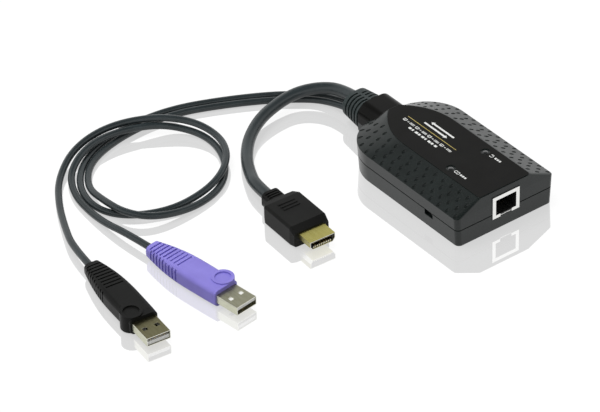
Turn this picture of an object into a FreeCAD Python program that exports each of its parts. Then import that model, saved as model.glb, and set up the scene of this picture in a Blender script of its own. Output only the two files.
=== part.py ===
"""KVM adapter dongle: a moulded two-part housing with an RJ45 socket and three captive leads.

Frame: millimetres, +Z up. The origin is the centre of the housing's flat base. The network
socket faces -Y, the leads leave at +Y and lie on the same surface as the housing, towards -X.
"""
import FreeCAD, Part
import math
import os

import Sketcher
from FreeCAD import Placement, Rotation, Vector

doc = FreeCAD.newDocument("KvmDongle")
sheet = doc.addObject("Spreadsheet::Sheet", "Sizes")

# ---------------------------------------------------------------- driving dimensions
SIZES = [
    # housing: plan is a U with a round rear end, widest where the shoulder starts
    ("shell_length", 88.0), ("shell_width", 57.8), ("shell_height", 21.5), ("wall", 2.0),
    ("corner_radius", 2.5), ("parting_height", 9.0), ("shoulder_height", 15.0),
    ("draft", 0.06), ("rear_radius", 22.0), ("panel_width", 31.0), ("panel_rear", 38.5),
    ("panel_side_end", 12.0), ("panel_rear_half", 3.0), ("panel_step", 0.35), ("panel_inset", 0.5),
    ("seam_depth", 0.7), ("seam_gap", 0.5), ("tongue_height", 1.2), ("tongue_width", 0.9),
    ("fit_gap", 0.1),
    # neck behind the shell and the cable boot held in it
    ("neck_width", 20.0), ("neck_top", 19.0), ("neck_length", 9.0), ("neck_radius", 6.0),
    ("neck_bottom", 1.0), ("neck_foot", 5.0),
    ("boot_width", 18.6), ("boot_bottom", 0.9), ("boot_top", 16.6), ("boot_length", 14.5),
    ("boot_radius", 6.3), ("boot_taper", 1.3), ("boot_shank_inset", 1.6), ("boot_flange", 2.5),
    ("boot_flange_inset", 1.2), ("boot_slots", 5), ("boot_slot_pitch", 2.5),
    ("boot_slot_width", 1.1), ("boot_slot_depth", 1.2), ("boot_slot_low", 3.5),
    ("boot_slot_land", 0.75),
    # circuit board and its screws
    ("board_bottom", 3.7), ("board_thickness", 1.6), ("board_margin", 3.2), ("board_notch", 21.0),
    ("board_notch_depth", 8.0),
    ("post_diameter", 6.0), ("post_top", 17.4), ("post_x", 19.0), ("front_post_y", -35.0),
    ("rear_post_x", 14.5), ("rear_post_y", 30.0), ("screw_head", 4.8), ("screw_head_height", 1.8),
    ("screw_shank", 2.2), ("screw_length", 11.0), ("screw_sink", 0.4), ("pilot_depth", 8.5),
    # network socket
    ("jack_width", 15.9), ("jack_height", 11.9), ("jack_lift", 1.1), ("jack_depth", 21.0),
    ("jack_rim", 1.95), ("jack_sill", 1.6),
    ("jack_face", 0.6), ("jack_sheet", 0.4), ("jack_proud", 0.4), ("jack_bore", 12.5),
    ("latch_width", 6.7), ("latch_floor", 0.6), ("contact_pitch", 1.02), ("contact_width", 0.45),
    ("contact_length", 8.5), ("contact_thickness", 0.3), ("contact_drop", 2.4),
    # status lights
    ("light_x", 10.3), ("light_y", -17.0), ("light_diameter", 3.0), ("light_dish", 4.6),
    ("light_dish_depth", 0.45), ("lamp_size", 2.4), ("lamp_height", 1.0),
    # recovery switch in the -X wall
    ("switch_y", -23.2), ("switch_travel", 2.0), ("window_width", 5.8), ("window_bottom", 5.75),
    ("switch_length", 8.6), ("switch_depth", 3.6), ("switch_height", 3.5), ("switch_wall", 0.5),
    ("knob_width", 1.9), ("knob_height", 1.7), ("knob_reach", 1.3), ("knob_gap", 0.15),
    # leads
    ("usb_lead", 3.4), ("hdmi_lead", 6.0), ("usb_exit_x", 1.9), ("usb_exit_z", 4.6),
    ("hdmi_exit_x", -0.5), ("hdmi_exit_z", 11.6),
    # USB plugs
    ("usb_body_length", 48.2), ("usb_body_width", 14.4), ("usb_body_thick", 8.7),
    ("usb_front_width", 13.8), ("usb_tail_width", 8.0), ("usb_tail_thick", 6.4),
    ("usb_edge_radius", 2.2),
    ("usb_shell_width", 12.0), ("usb_shell_height", 4.5), ("usb_shell_reach", 13.3),
    ("usb_sheet", 0.35), ("usb_socket", 5.0), ("usb_tongue_height", 1.9), ("usb_tongue_back", 0.5),
    ("usb_hole", 2.2), ("usb_hole_x", 3.05), ("usb_hole_y", 6.7),
    ("usb_pad", 10.6), ("usb_pad_dish", 7.6), ("usb_pad_dish_depth", 0.8), ("usb_pad_x", 3.4),
    ("usb_pad_y", 18.6), ("usb_pad_proud", 0.5), ("usb_slots", 9), ("usb_slot_pitch", 2.35),
    ("usb_slot_width", 0.9), ("usb_slot_depth", 0.9), ("usb_contact_width", 1.1),
    ("usb_contact_length", 7.5), ("usb_contact_height", 0.15),
    # HDMI plug
    ("hdmi_body_length", 27.6), ("hdmi_body_width", 20.0), ("hdmi_body_thick", 10.4),
    ("hdmi_neck_width", 9.6), ("hdmi_neck_length", 6.0), ("hdmi_nose", 3.2), ("hdmi_nose_drop", 2.2),
    ("hdmi_shoulder", 4.2), ("hdmi_corner", 1.3), ("hdmi_shell_width", 13.9), ("hdmi_shell_height", 4.45),
    ("hdmi_shell_base", 11.3), ("hdmi_shell_reach", 9.0), ("hdmi_socket", 5.0), ("hdmi_sheet", 0.35),
    ("hdmi_slot_height", 2.0), ("hdmi_slot_width", 11.2), ("hdmi_slot_depth", 7.0),
    ("hdmi_contact_pitch", 1.0), ("hdmi_contact_width", 0.45), ("hdmi_contact_height", 0.25),
]
for row, (alias, value) in enumerate(SIZES, start=1):
    sheet.set(f"A{row}", alias)
    sheet.set(f"B{row}", str(value))
    sheet.setAlias(f"B{row}", alias)
doc.recompute()


class Dim:
    """A length that carries its number and the spreadsheet expression it comes from."""

    def __init__(self, value, text):
        self.value, self.text = float(value), text

    @staticmethod
    def of(other):
        return other if isinstance(other, Dim) else Dim(other, repr(float(other)))

    def _join(self, sign, other, value):
        return Dim(value, f"({self.text} {sign} {Dim.of(other).text})")

    def __add__(self, other):
        return self._join("+", other, self.value + Dim.of(other).value)

    def __sub__(self, other):
        return self._join("-", other, self.value - Dim.of(other).value)

    def __mul__(self, other):
        return self._join("*", other, self.value * Dim.of(other).value)

    def __truediv__(self, other):
        return self._join("/", other, self.value / Dim.of(other).value)

    def __neg__(self):
        return Dim(-self.value, f"(-{self.text})")


S = {alias: Dim(sheet.get(alias), f"Sizes.{alias}") for alias, _ in SIZES}
nodes = []

# lengths that several pieces share
half_width = S["shell_width"] / 2
front_y = -(S["shell_length"] / 2)
rear_side = S["shell_length"] / 2 - S["rear_radius"]
rear_half = half_width - S["rear_radius"]
lean = S["shoulder_height"] * S["draft"]
board_top = S["board_bottom"] + S["board_thickness"]
neck_end = S["shell_length"] / 2 + S["neck_length"]
boot_end = neck_end + S["boot_length"]
panel_half = S["panel_width"] / 2
step_base = S["shell_height"] - S["panel_step"]
inner_rear = S["shell_length"] / 2 - lean - S["wall"]
neck_root = S["shell_length"] / 2 - S["rear_radius"] / 1.5


# ---------------------------------------------------------------- modelling helpers
def bind(obj, path, dim):
    """Binds one property of an object to a length of the sheet."""
    dim = Dim.of(dim)
    obj.setExpression(path, dim.text)


def new_body(label):
    body = doc.addObject("PartDesign::Body", label)
    body.Label = label
    nodes.append(body)
    doc.recompute()
    return body


def new_sketch(body, name, role, offset):
    """An empty sketch on one of the body's own origin planes, moved along its normal."""
    sketch = body.newObject("Sketcher::SketchObject", name)
    plane = next(f for f in body.Origin.OriginFeatures if f.Role == role)
    sketch.AttachmentSupport = [(plane, "")]
    sketch.MapMode = "FlatFace"
    bind(sketch, "AttachmentOffset.Base.z", offset)
    return sketch


def pin(sketch, geo, pos, x, y):
    """Fixes one point of the sketch at bound coordinates; None leaves that axis free."""
    for kind, dim in (("DistanceX", x), ("DistanceY", y)):
        if dim is not None:
            dim = Dim.of(dim)
            index = sketch.addConstraint(Sketcher.Constraint(kind, -1, 1, geo, pos, dim.value))
            sketch.setExpression(f"Constraints[{index}]", dim.text)


def loop(sketch, corners):
    """Adds one closed loop. A corner is (x, y), or (x, y, centre_x, centre_y, bulge) when an arc
    runs from it to the next corner; one of the centre's coordinates is None, and bulge is the
    side of the chord the arc lies on, +1 on the right of the way it is drawn, -1 on the left."""
    first = sketch.GeometryCount
    count = len(corners)
    for i, corner in enumerate(corners):
        x0, y0 = Dim.of(corner[0]).value, Dim.of(corner[1]).value
        x1, y1 = (Dim.of(v).value for v in corners[(i + 1) % count][:2])
        start, end = Vector(x0, y0, 0), Vector(x1, y1, 0)
        if len(corner) == 2:
            sketch.addGeometry(Part.LineSegment(start, end))
            continue
        chord = end - start
        normal = Vector(chord.y, -chord.x, 0) / chord.Length
        middle = (start + end) / 2
        # the centre lies on the chord's perpendicular, at the one coordinate that is given
        if corner[2] is not None:
            along = (Dim.of(corner[2]).value - middle.x) / normal.x if abs(normal.x) > 1e-9 else 0.0
        else:
            along = (Dim.of(corner[3]).value - middle.y) / normal.y if abs(normal.y) > 1e-9 else 0.0
        centre = middle + normal * along
        radius = (start - centre).Length
        top = centre + normal * radius * corner[4]
        sketch.addGeometry(Part.Arc(start, top, end))
    ends = []
    for i, corner in enumerate(corners):
        arc = len(corner) > 2
        flipped = arc and corner[4] < 0     # an arc is stored counter-clockwise
        ends.append((2, 1) if flipped else (1, 2))
    for i, corner in enumerate(corners):
        following = (i + 1) % count
        sketch.addConstraint(Sketcher.Constraint(
            "Coincident", first + i, ends[i][1], first + following, ends[following][0]))
        pin(sketch, first + i, ends[i][0], corner[0], corner[1])
        if len(corner) > 2:
            pin(sketch, first + i, 3, corner[2], corner[3])


def circle(sketch, x, y, diameter):
    diameter = Dim.of(diameter)
    geo = sketch.addGeometry(Part.Circle(
        Vector(Dim.of(x).value, Dim.of(y).value, 0), Vector(0, 0, 1), diameter.value / 2))
    pin(sketch, geo, 3, x, y)
    index = sketch.addConstraint(Sketcher.Constraint("Diameter", geo, diameter.value))
    sketch.setExpression(f"Constraints[{index}]", diameter.text)


def box_corners(x0, x1, y0, y1):
    return [(x0, y0), (x1, y0), (x1, y1), (x0, y1)]


def round_box(x0, x1, y0, y1, radius):
    """Corners of a rectangle with four round corners, anticlockwise."""
    x0, x1, y0, y1, radius = (Dim.of(v) for v in (x0, x1, y0, y1, radius))
    return [
        (x0 + radius, y0), (x1 - radius, y0, x1 - radius, None, 1),
        (x1, y0 + radius), (x1, y1 - radius, None, y1 - radius, 1),
        (x1 - radius, y1), (x0 + radius, y1, x0 + radius, None, 1),
        (x0, y1 - radius), (x0, y0 + radius, None, y0 + radius, 1),
    ]


def u_corners(half, front, side_end, back_half, rear, radius):
    """The housing's plan: straight sides, two large arcs to a short rear edge, round front
    corners. The arcs' centres lie on the line where the straight sides end."""
    return [
        (-half + radius, front), (half - radius, front, half - radius, None, 1),
        (half, front + radius), (half, side_end, None, side_end, 1),
        (back_half, rear), (-back_half, rear, None, side_end, 1),
        (-half, side_end), (-half, front + radius, None, front + radius, 1),
    ]


def u_sketch(body, name, height, corners):
    sketch = new_sketch(body, name, "XY_Plane", height)
    loop(sketch, corners)
    return sketch


def inset_u(body, name, height, inset, at=None):
    """The housing's plan moved inwards all round, as wide as it is at the height `at`."""
    lean_in = (S["shoulder_height"] - (height if at is None else at)) * S["draft"] + inset
    radius = S["corner_radius"] - inset if S["corner_radius"].value > Dim.of(inset).value + 0.3 else 0.3
    return u_sketch(body, name, height, u_corners(
        half_width - lean_in, front_y + inset, rear_side, rear_half,
        S["shell_length"] / 2 - lean_in, Dim.of(radius)))


def panel_u(body, name, height, inset, front):
    """The flat panel's plan, moved inwards all round."""
    return u_sketch(body, name, height, u_corners(
        panel_half - inset, front, S["panel_side_end"], S["panel_rear_half"],
        S["panel_rear"] - inset, S["corner_radius"] / 2))


def pad(body, name, sketch, length, reverse=False):
    feature = body.newObject("PartDesign::Pad", name)
    feature.Profile = sketch
    bind(feature, "Length", length)
    feature.Reversed = reverse
    return finish(body, feature, grows=True)


def pocket(body, name, sketch, length, reverse=False):
    feature = body.newObject("PartDesign::Pocket", name)
    feature.Profile = sketch
    bind(feature, "Length", length)
    feature.Reversed = reverse
    return finish(body, feature, grows=False)


def loft(body, name, kind, sketches, ruled, grows):
    feature = body.newObject(f"PartDesign::{kind}", name)
    feature.Profile = sketches[0]
    feature.Sections = sketches[1:]
    feature.Ruled = ruled
    return finish(body, feature, grows)


def volume_before(body, feature):
    base = feature.BaseFeature
    return base.Shape.Volume if base is not None else 0.0


def finish(body, feature, grows):
    """Recomputes one feature and makes sure that it added or removed material."""
    doc.recompute()
    change = feature.Shape.Volume - volume_before(body, feature)
    if "Invalid" in feature.State or "Error" in feature.State or (change > 0) != grows:
        raise RuntimeError(f"{body.Label}: {feature.Label} {feature.State} changed volume by {change:.3f}")
    for used in [feature.Profile[0]] if hasattr(feature, "Profile") else []:
        used.Visibility = False
    return feature


def part_box(label, x, y, z, length, width, height):
    """A box of the Part workbench, placed by its low corner."""
    box = doc.addObject("Part::Box", label)
    for path, dim in (("Length", length), ("Width", width), ("Height", height),
                      ("Placement.Base.x", x), ("Placement.Base.y", y), ("Placement.Base.z", z)):
        bind(box, path, dim)
    return box


def part_cylinder(label, x, y, z, diameter, height):
    cylinder = doc.addObject("Part::Cylinder", label)
    for path, dim in (("Radius", Dim.of(diameter) / 2), ("Height", height),
                      ("Placement.Base.x", x), ("Placement.Base.y", y), ("Placement.Base.z", z)):
        bind(cylinder, path, dim)
    return cylinder


def join(label, kind, pieces):
    """A Part boolean of several shapes: Part::MultiFuse or Part::Compound; the result is a node."""
    result = doc.addObject(kind, label)
    if kind == "Part::Compound":
        result.Links = pieces
    else:
        result.Shapes = pieces
    doc.recompute()
    return result


def node(obj, label):
    obj.Label = label
    nodes.append(obj)
    return obj


# ---------------------------------------------------------------- housing
post_places = [
    (S["post_x"], S["front_post_y"]), (-S["post_x"], S["front_post_y"]),
    (S["rear_post_x"], S["rear_post_y"]), (-S["rear_post_x"], S["rear_post_y"]),
]
jack_bottom = board_top + S["jack_lift"]
jack_top = jack_bottom + S["jack_height"]
lights = (("power", S["light_x"]), ("link", -S["light_x"]))
channel_half = S["boot_width"] / 2 - S["boot_shank_inset"] + S["fit_gap"]
channel_low = S["boot_bottom"] + S["boot_shank_inset"] + 1.0 - S["fit_gap"]
channel_high = S["boot_top"] - S["boot_shank_inset"] + S["fit_gap"]
shank_radius = S["boot_radius"] - S["boot_shank_inset"]


def neck_corners(low, high, rounded_top):
    """The lower or the upper half of the neck's section, with round edges."""
    half, radius = S["neck_width"] / 2, S["neck_radius"]
    if not rounded_top:
        foot = S["neck_foot"]
        return [(-half + foot, low), (half - foot, low, half - foot, None, 1),
                (half, low + foot), (half, high), (-half, high),
                (-half, low + foot, None, low + foot, 1)]
    return [(-half, low), (half, low), (half, high - radius, None, high - radius, 1),
            (half - radius, high), (-half + radius, high, -half + radius, None, 1),
            (-half, high - radius)]


def cut_channel(body, name):
    """The passage through the neck that the cable boot's shank fills."""
    sketch = new_sketch(body, f"{name}Section", "XZ_Plane", -(inner_rear - 3.0))
    loop(sketch, round_box(-channel_half, channel_half, channel_low, channel_high,
                           shank_radius + S["fit_gap"]))
    pocket(body, name, sketch, S["neck_length"] + S["wall"] + 4.0)


def cut_jack_window(body, name):
    """The front opening round the network socket."""
    gap = S["fit_gap"] + 0.1
    sketch = new_sketch(body, f"{name}Section", "XZ_Plane", -front_y + 1.0)
    half = S["jack_width"] / 2 + gap
    loop(sketch, box_corners(-half, half, jack_bottom - S["fit_gap"], jack_top + gap))
    pocket(body, name, sketch, S["wall"] + 4.0)


def bottom_shell():
    body = new_body("bottom_shell")
    seat = S["parting_height"] - S["seam_gap"]
    loft(body, "Tub", "AdditiveLoft", [inset_u(body, "TubFoot", 0.0, 0.0),
                                       inset_u(body, "TubRim", seat, 0.0)], ruled=True, grows=True)
    pad(body, "Seat", inset_u(body, "SeatPlan", seat, S["seam_depth"]), S["seam_gap"])
    edge = S["wall"] - S["tongue_width"]
    pad(body, "Tongue", inset_u(body, "TonguePlan", S["parting_height"], edge), S["tongue_height"])
    section = new_sketch(body, "NeckSection", "XZ_Plane", -neck_root)
    loop(section, neck_corners(S["neck_bottom"], S["parting_height"], rounded_top=False))
    pad(body, "Neck", section, neck_end - neck_root, reverse=True)
    plan = inset_u(body, "CavityPlan", S["wall"], S["wall"], at=0.0)
    pocket(body, "Cavity", plan, S["shell_height"], reverse=True)
    posts = new_sketch(body, "PostPlan", "XY_Plane", S["wall"] / 2)
    for x, y in post_places:
        circle(posts, x, y, S["post_diameter"])
    pad(body, "Posts", posts, S["board_bottom"] - S["wall"] / 2)
    heads = new_sketch(body, "HeadPlan", "XY_Plane", 0.0)
    shanks = new_sketch(body, "ShankPlan", "XY_Plane", 0.0)
    for x, y in post_places:
        circle(heads, x, y, S["screw_head"] + S["fit_gap"] * 4)
        circle(shanks, x, y, S["screw_shank"] + S["fit_gap"] * 4)
    pocket(body, "HeadSinks", heads, S["screw_head_height"] + S["screw_sink"], reverse=True)
    pocket(body, "ShankHoles", shanks, S["shell_height"], reverse=True)
    cut_channel(body, "BootChannel")
    cut_jack_window(body, "JackWindow")
    window = new_sketch(body, "SwitchWindowSection", "YZ_Plane", -half_width - 1.0)
    low, high = S["switch_y"] - S["window_width"] / 2, S["switch_y"] + S["window_width"] / 2
    loop(window, box_corners(low, high, S["window_bottom"], S["shell_height"]))
    pocket(body, "SwitchWindow", window, S["wall"] + 2.0, reverse=True)
    return body


def top_shell():
    body = new_body("top_shell")
    loft(body, "Wall", "AdditiveLoft", [inset_u(body, "WallFoot", S["parting_height"], 0.0),
                                        inset_u(body, "WallTop", S["shoulder_height"], 0.0)],
         ruled=True, grows=True)
    base = inset_u(body, "ShoulderFoot", S["shoulder_height"], 0.0)
    panel_front = front_y + S["panel_step"]
    rim = panel_u(body, "ShoulderTop", step_base, 0.0, panel_front)
    loft(body, "Shoulder", "AdditiveLoft", [base, rim], ruled=True, grows=True)
    panel = panel_u(body, "PanelPlan", step_base, S["panel_inset"], panel_front + S["panel_inset"])
    pad(body, "Panel", panel, S["panel_step"])
    section = new_sketch(body, "NeckSection", "XZ_Plane", -neck_root)
    loop(section, neck_corners(S["parting_height"], S["neck_top"], rounded_top=True))
    pad(body, "Neck", section, neck_end - neck_root, reverse=True)
    cavity = inset_u(body, "CavityPlan", S["parting_height"], S["wall"], at=0.0)
    pocket(body, "Cavity", cavity, S["shoulder_height"] - S["parting_height"], reverse=True)
    foot = inset_u(body, "CeilingFoot", S["shoulder_height"], S["wall"], at=0.0)
    ceiling = panel_u(body, "CeilingTop", S["shell_height"] - S["wall"], S["wall"],
                      front_y + S["wall"])
    loft(body, "Ceiling", "SubtractiveLoft", [foot, ceiling], ruled=True, grows=False)
    edge = S["wall"] - S["tongue_width"] - S["fit_gap"]
    rebate = inset_u(body, "RebatePlan", S["parting_height"], edge)
    pocket(body, "Rebate", rebate, S["tongue_height"] + S["fit_gap"] * 2, reverse=True)
    posts = new_sketch(body, "PostPlan", "XY_Plane", board_top)
    pilots = new_sketch(body, "PilotPlan", "XY_Plane", board_top)
    for x, y in post_places:
        circle(posts, x, y, S["post_diameter"])
        circle(pilots, x, y, S["screw_shank"] + S["fit_gap"])
    pad(body, "Posts", posts, S["post_top"] - board_top)
    pocket(body, "Pilots", pilots, S["pilot_depth"], reverse=True)
    cut_channel(body, "BootChannel")
    cut_jack_window(body, "JackWindow")
    holes = new_sketch(body, "LightPlan", "XY_Plane", S["shell_height"])
    dishes = new_sketch(body, "LightDishPlan", "XY_Plane", S["shell_height"])
    for _, x in lights:
        circle(holes, x, S["light_y"], S["light_diameter"] + S["fit_gap"] * 2)
        circle(dishes, x, S["light_y"], S["light_dish"])
    pocket(body, "LightHoles", holes, S["wall"] * 2)
    pocket(body, "LightDishes", dishes, S["light_dish_depth"])
    return body


def boot_section(body, name, y, inset):
    """The boot's round-cornered section at y, moved inwards."""
    sketch = new_sketch(body, name, "XZ_Plane", -y)
    half = S["boot_width"] / 2 - inset
    loop(sketch, round_box(-half, half, S["boot_bottom"] + inset, S["boot_top"] - inset,
                           S["boot_radius"] - inset / 4))
    return sketch


def boot_slot(body, name, y, side):
    """A bending slot that wraps from one side of the boot over its top edge to near the middle."""
    sketch = new_sketch(body, name, "XZ_Plane", -y)
    inset = S["boot_taper"] * ((y - neck_end).value / S["boot_length"].value)
    half, high = S["boot_width"] / 2 - inset, S["boot_top"] - inset
    radius, depth = S["boot_radius"], S["boot_slot_depth"]
    outside, above, low = (half + 2.0) * side, high + 2.0, S["boot_bottom"] + S["boot_slot_low"]
    wall, bend = (half - depth) * side, (half - radius) * side
    end = S["boot_slot_land"] * side
    loop(sketch, [(outside, low), (wall, low), (wall, high - radius, bend, None, side),
                  (bend, high - depth), (end, high - depth), (end, above), (outside, above)])
    pocket(body, name, sketch, S["boot_slot_width"])


def cable_boot():
    """The soft strain relief: slotted and tapered outside, with a shank and a flange clamped in
    the neck."""
    body = new_body("strain_relief")
    half = S["boot_width"] / 2
    loft(body, "Boot", "AdditiveLoft", [boot_section(body, "BootRoot", neck_end, Dim.of(0.0)),
                                        boot_section(body, "BootTail", boot_end, S["boot_taper"])],
         ruled=True, grows=True)
    # the flange stands clear of the curved rear wall and below the sloping ceiling
    shank_start = inner_rear - S["boot_flange_inset"] - S["boot_flange"]
    inset = S["fit_gap"]
    shank = new_sketch(body, "ShankSection", "XZ_Plane", -shank_start)
    loop(shank, round_box(-channel_half + inset, channel_half - inset, channel_low + inset,
                          channel_high - inset, shank_radius))
    pad(body, "Shank", shank, neck_end - shank_start, reverse=True)
    flange = new_sketch(body, "FlangeSection", "XZ_Plane", -shank_start)
    loop(flange, box_corners(-half, half, channel_low - S["fit_gap"] * 2,
                             S["shoulder_height"] - S["fit_gap"] * 2))
    pad(body, "Flange", flange, S["boot_flange"], reverse=True)
    first = neck_end + S["boot_slot_width"]
    for i in range(int(S["boot_slots"].value)):
        y = first + S["boot_slot_pitch"] * i
        boot_slot(body, f"LeftSlot{i}", y, -1)
        if i < int(S["boot_slots"].value) - 1:
            boot_slot(body, f"RightSlot{i}", y + S["boot_slot_pitch"] / 2, 1)
    return body


def housing_screws():
    """Four self-tapping screws sunk in the base, with a cross recess left to the finish."""
    for i, (x, y) in enumerate(post_places, start=1):
        head = part_cylinder(f"ScrewHead{i}", x, y, S["screw_sink"], S["screw_head"],
                             S["screw_head_height"])
        shank = part_cylinder(f"ScrewShank{i}", x, y, S["screw_sink"] + S["screw_head_height"],
                              S["screw_shank"], S["screw_length"] - S["screw_head_height"])
        slot = part_box(f"ScrewSlot{i}", x - S["screw_head"] * 0.32, y - 0.35, S["screw_sink"] - 1.0,
                        S["screw_head"] * 0.64, 0.7, 1.7)
        cross = part_box(f"ScrewCross{i}", x - 0.35, y - S["screw_head"] * 0.32,
                         S["screw_sink"] - 1.0, 0.7, S["screw_head"] * 0.64, 1.7)
        solid = join(f"ScrewSolid{i}", "Part::MultiFuse", [head, shank])
        recess = join(f"ScrewRecess{i}", "Part::MultiFuse", [slot, cross])
        cut = doc.addObject("Part::Cut", f"Screw{i}")
        cut.Base, cut.Tool = solid, recess
        node(cut, f"housing_screw_{i}")


# ---------------------------------------------------------------- electronics
def circuit_board():
    body = new_body("circuit_board")
    plan = inset_u(body, "BoardPlan", S["board_bottom"], S["board_margin"], at=0.0)
    pad(body, "Board", plan, S["board_thickness"])
    notch = new_sketch(body, "CableNotchPlan", "XY_Plane", board_top + 1.0)
    rear = S["shell_length"] / 2 - S["board_margin"]
    loop(notch, box_corners(-(S["board_notch"] / 2), S["board_notch"] / 2,
                            rear - S["board_notch_depth"], rear + 2.0))
    pocket(body, "CableNotch", notch, S["board_thickness"] + 2.0)
    holes = new_sketch(body, "ScrewHolePlan", "XY_Plane", board_top + 1.0)
    for x, y in post_places:
        circle(holes, x, y, S["screw_shank"] + S["fit_gap"] * 6)
    pocket(body, "ScrewHoles", holes, S["board_thickness"] + 2.0)
    return body


def board_chips():
    """Packages on the board: label, centre x, centre y, size x, size y, height."""
    for label, x, y, length, width, height in (
            ("video_chip", -6.0, 14.0, 12.0, 12.0, 1.4),
            ("main_processor", 10.0, 4.0, 9.0, 9.0, 1.2),
            ("network_transformer", 0.0, -14.5, 14.0, 8.0, 5.0),
            ("clock_crystal", 9.5, 14.5, 7.0, 3.2, 2.4),
            ("hdmi_lead_header", 7.5, 24.5, 10.0, 4.0, 4.5),
            ("usb_lead_header", -7.0, 24.5, 9.0, 4.0, 4.0)):
        node(part_box(f"Chip_{label}", Dim.of(x - length / 2), Dim.of(y - width / 2), board_top,
                      length, width, height), label)


def status_lights():
    """A clear light pipe under each hole of the top panel and the lamp below it."""
    for name, x in lights:
        lamp = part_box(f"Lamp_{name}", x - S["lamp_size"] / 2, S["light_y"] - S["lamp_size"] / 2,
                        board_top, S["lamp_size"], S["lamp_size"], S["lamp_height"])
        node(lamp, f"{name}_lamp")
        foot = board_top + S["lamp_height"]
        top = S["shell_height"] - S["light_dish_depth"]
        stem = part_cylinder(f"Stem_{name}", x, S["light_y"], foot, S["light_diameter"], top - foot)
        collar_top = S["shell_height"] - S["wall"] - S["panel_step"]
        collar = part_cylinder(f"Collar_{name}", x, S["light_y"], collar_top - 0.8,
                               S["light_dish"], 0.8)
        node(join(f"Pipe_{name}", "Part::MultiFuse", [stem, collar]), f"{name}_light_pipe")


# ---------------------------------------------------------------- network socket
jack_front = front_y - S["jack_proud"]


def jack_opening(body, name, front, depth, latch_low):
    """The stepped mouth of the socket: room for a plug, with the latch channel below it."""
    half, latch = S["jack_width"] / 2 - S["jack_rim"], S["latch_width"] / 2
    low, high = jack_bottom + S["jack_sill"], jack_top - S["jack_rim"]
    sketch = new_sketch(body, f"{name}Section", "XZ_Plane", -front)
    loop(sketch, [(-latch, latch_low), (latch, latch_low), (latch, low), (half, low), (half, high),
                  (-half, high), (-half, low), (-latch, low)])
    return pocket(body, name, sketch, depth)


def jack_shield():
    """The folded tinplate can, on a stand that lifts it off the board. The latch channel cuts
    through the lower edge of its face."""
    body = new_body("network_jack_shield")
    half = S["jack_width"] / 2
    section = new_sketch(body, "CanSection", "XZ_Plane", -jack_front)
    loop(section, box_corners(-half, half, jack_bottom, jack_top))
    pad(body, "Can", section, S["jack_depth"], reverse=True)
    sheet_gap = S["jack_sheet"]
    hollow = new_sketch(body, "HollowSection", "XZ_Plane", -(jack_front + S["jack_face"]))
    loop(hollow, box_corners(-half + sheet_gap, half - sheet_gap, jack_bottom + sheet_gap,
                             jack_top - sheet_gap))
    pocket(body, "Hollow", hollow, S["jack_depth"])
    jack_opening(body, "Mouth", jack_front - 1.0, S["jack_face"] + 1.0, jack_bottom - 1.0)
    stand = new_sketch(body, "StandPlan", "XY_Plane", board_top)
    back = jack_front + S["jack_depth"]
    loop(stand, box_corners(-half, half, front_y + S["wall"] * 2, back))
    pad(body, "Stand", stand, S["jack_lift"])
    return body


def jack_insert():
    body = new_body("network_jack_insert")
    gap = S["jack_sheet"] + S["fit_gap"] / 2
    half = S["jack_width"] / 2 - gap
    front = jack_front + S["jack_face"]
    section = new_sketch(body, "BlockSection", "XZ_Plane", -front)
    loop(section, box_corners(-half, half, jack_bottom + gap, jack_top - gap))
    pad(body, "Block", section, S["jack_depth"] - S["jack_face"], reverse=True)
    jack_opening(body, "Bore", front - 1.0, S["jack_bore"] + 1.0,
                 jack_bottom + gap + S["latch_floor"])
    return body


def jack_contacts():
    """Eight springs that slope down from the roof of the socket towards its rear wall."""
    springs = []
    roof = jack_top - S["jack_rim"]
    start = jack_front + S["jack_bore"] + S["jack_face"]
    thick = S["contact_thickness"]
    for i in range(8):
        body = doc.addObject("PartDesign::Body", f"Spring{i}")
        doc.recompute()
        x = S["contact_pitch"] * (i - 3.5) - S["contact_width"] / 2
        side = new_sketch(body, f"SpringSide{i}", "YZ_Plane", x)
        near, far = start - S["contact_length"], start
        loop(side, [(near, roof - thick), (far, roof - S["contact_drop"] - thick),
                    (far, roof - S["contact_drop"]), (near + 1.5, roof), (near, roof)])
        pad(body, f"SpringPad{i}", side, S["contact_width"])
        springs.append(body)
    return node(join("Springs", "Part::Compound", springs), "network_jack_contacts")


# ---------------------------------------------------------------- recovery switch
# The knob slides along Y behind the window; the rest position is towards -Y.
switch_face = -half_width + lean + S["wall"] + S["fit_gap"] * 2


def switch_frame():
    body = new_body("switch_frame")
    length, depth, height = S["switch_length"], S["switch_depth"], S["switch_height"]
    low = S["switch_y"] - length / 2
    plan = new_sketch(body, "FramePlan", "XY_Plane", board_top)
    loop(plan, box_corners(switch_face, switch_face + depth, low, low + length))
    pad(body, "Frame", plan, height)
    travel = S["knob_width"] + S["switch_travel"] + S["knob_gap"] * 2
    middle = board_top + height / 2
    reach = S["knob_height"] / 2 + S["knob_gap"]
    slot = new_sketch(body, "SlotSection", "YZ_Plane", switch_face - 1.0)
    loop(slot, box_corners(S["switch_y"] - travel / 2, S["switch_y"] + travel / 2,
                           middle - reach, middle + reach))
    pocket(body, "Slot", slot, depth - S["switch_wall"] + 1.0, reverse=True)
    return body


def switch_knob():
    body = new_body("switch_knob")
    middle = board_top + S["switch_height"] / 2
    low = S["switch_y"] - S["knob_width"] / 2 - S["switch_travel"] / 2
    section = new_sketch(body, "KnobSection", "YZ_Plane", switch_face - S["knob_reach"])
    loop(section, box_corners(low, low + S["knob_width"], middle - S["knob_height"] / 2,
                              middle + S["knob_height"] / 2))
    pad(body, "Knob", section, S["knob_reach"] + S["switch_depth"] - S["switch_wall"] - S["knob_gap"])
    return body


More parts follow.
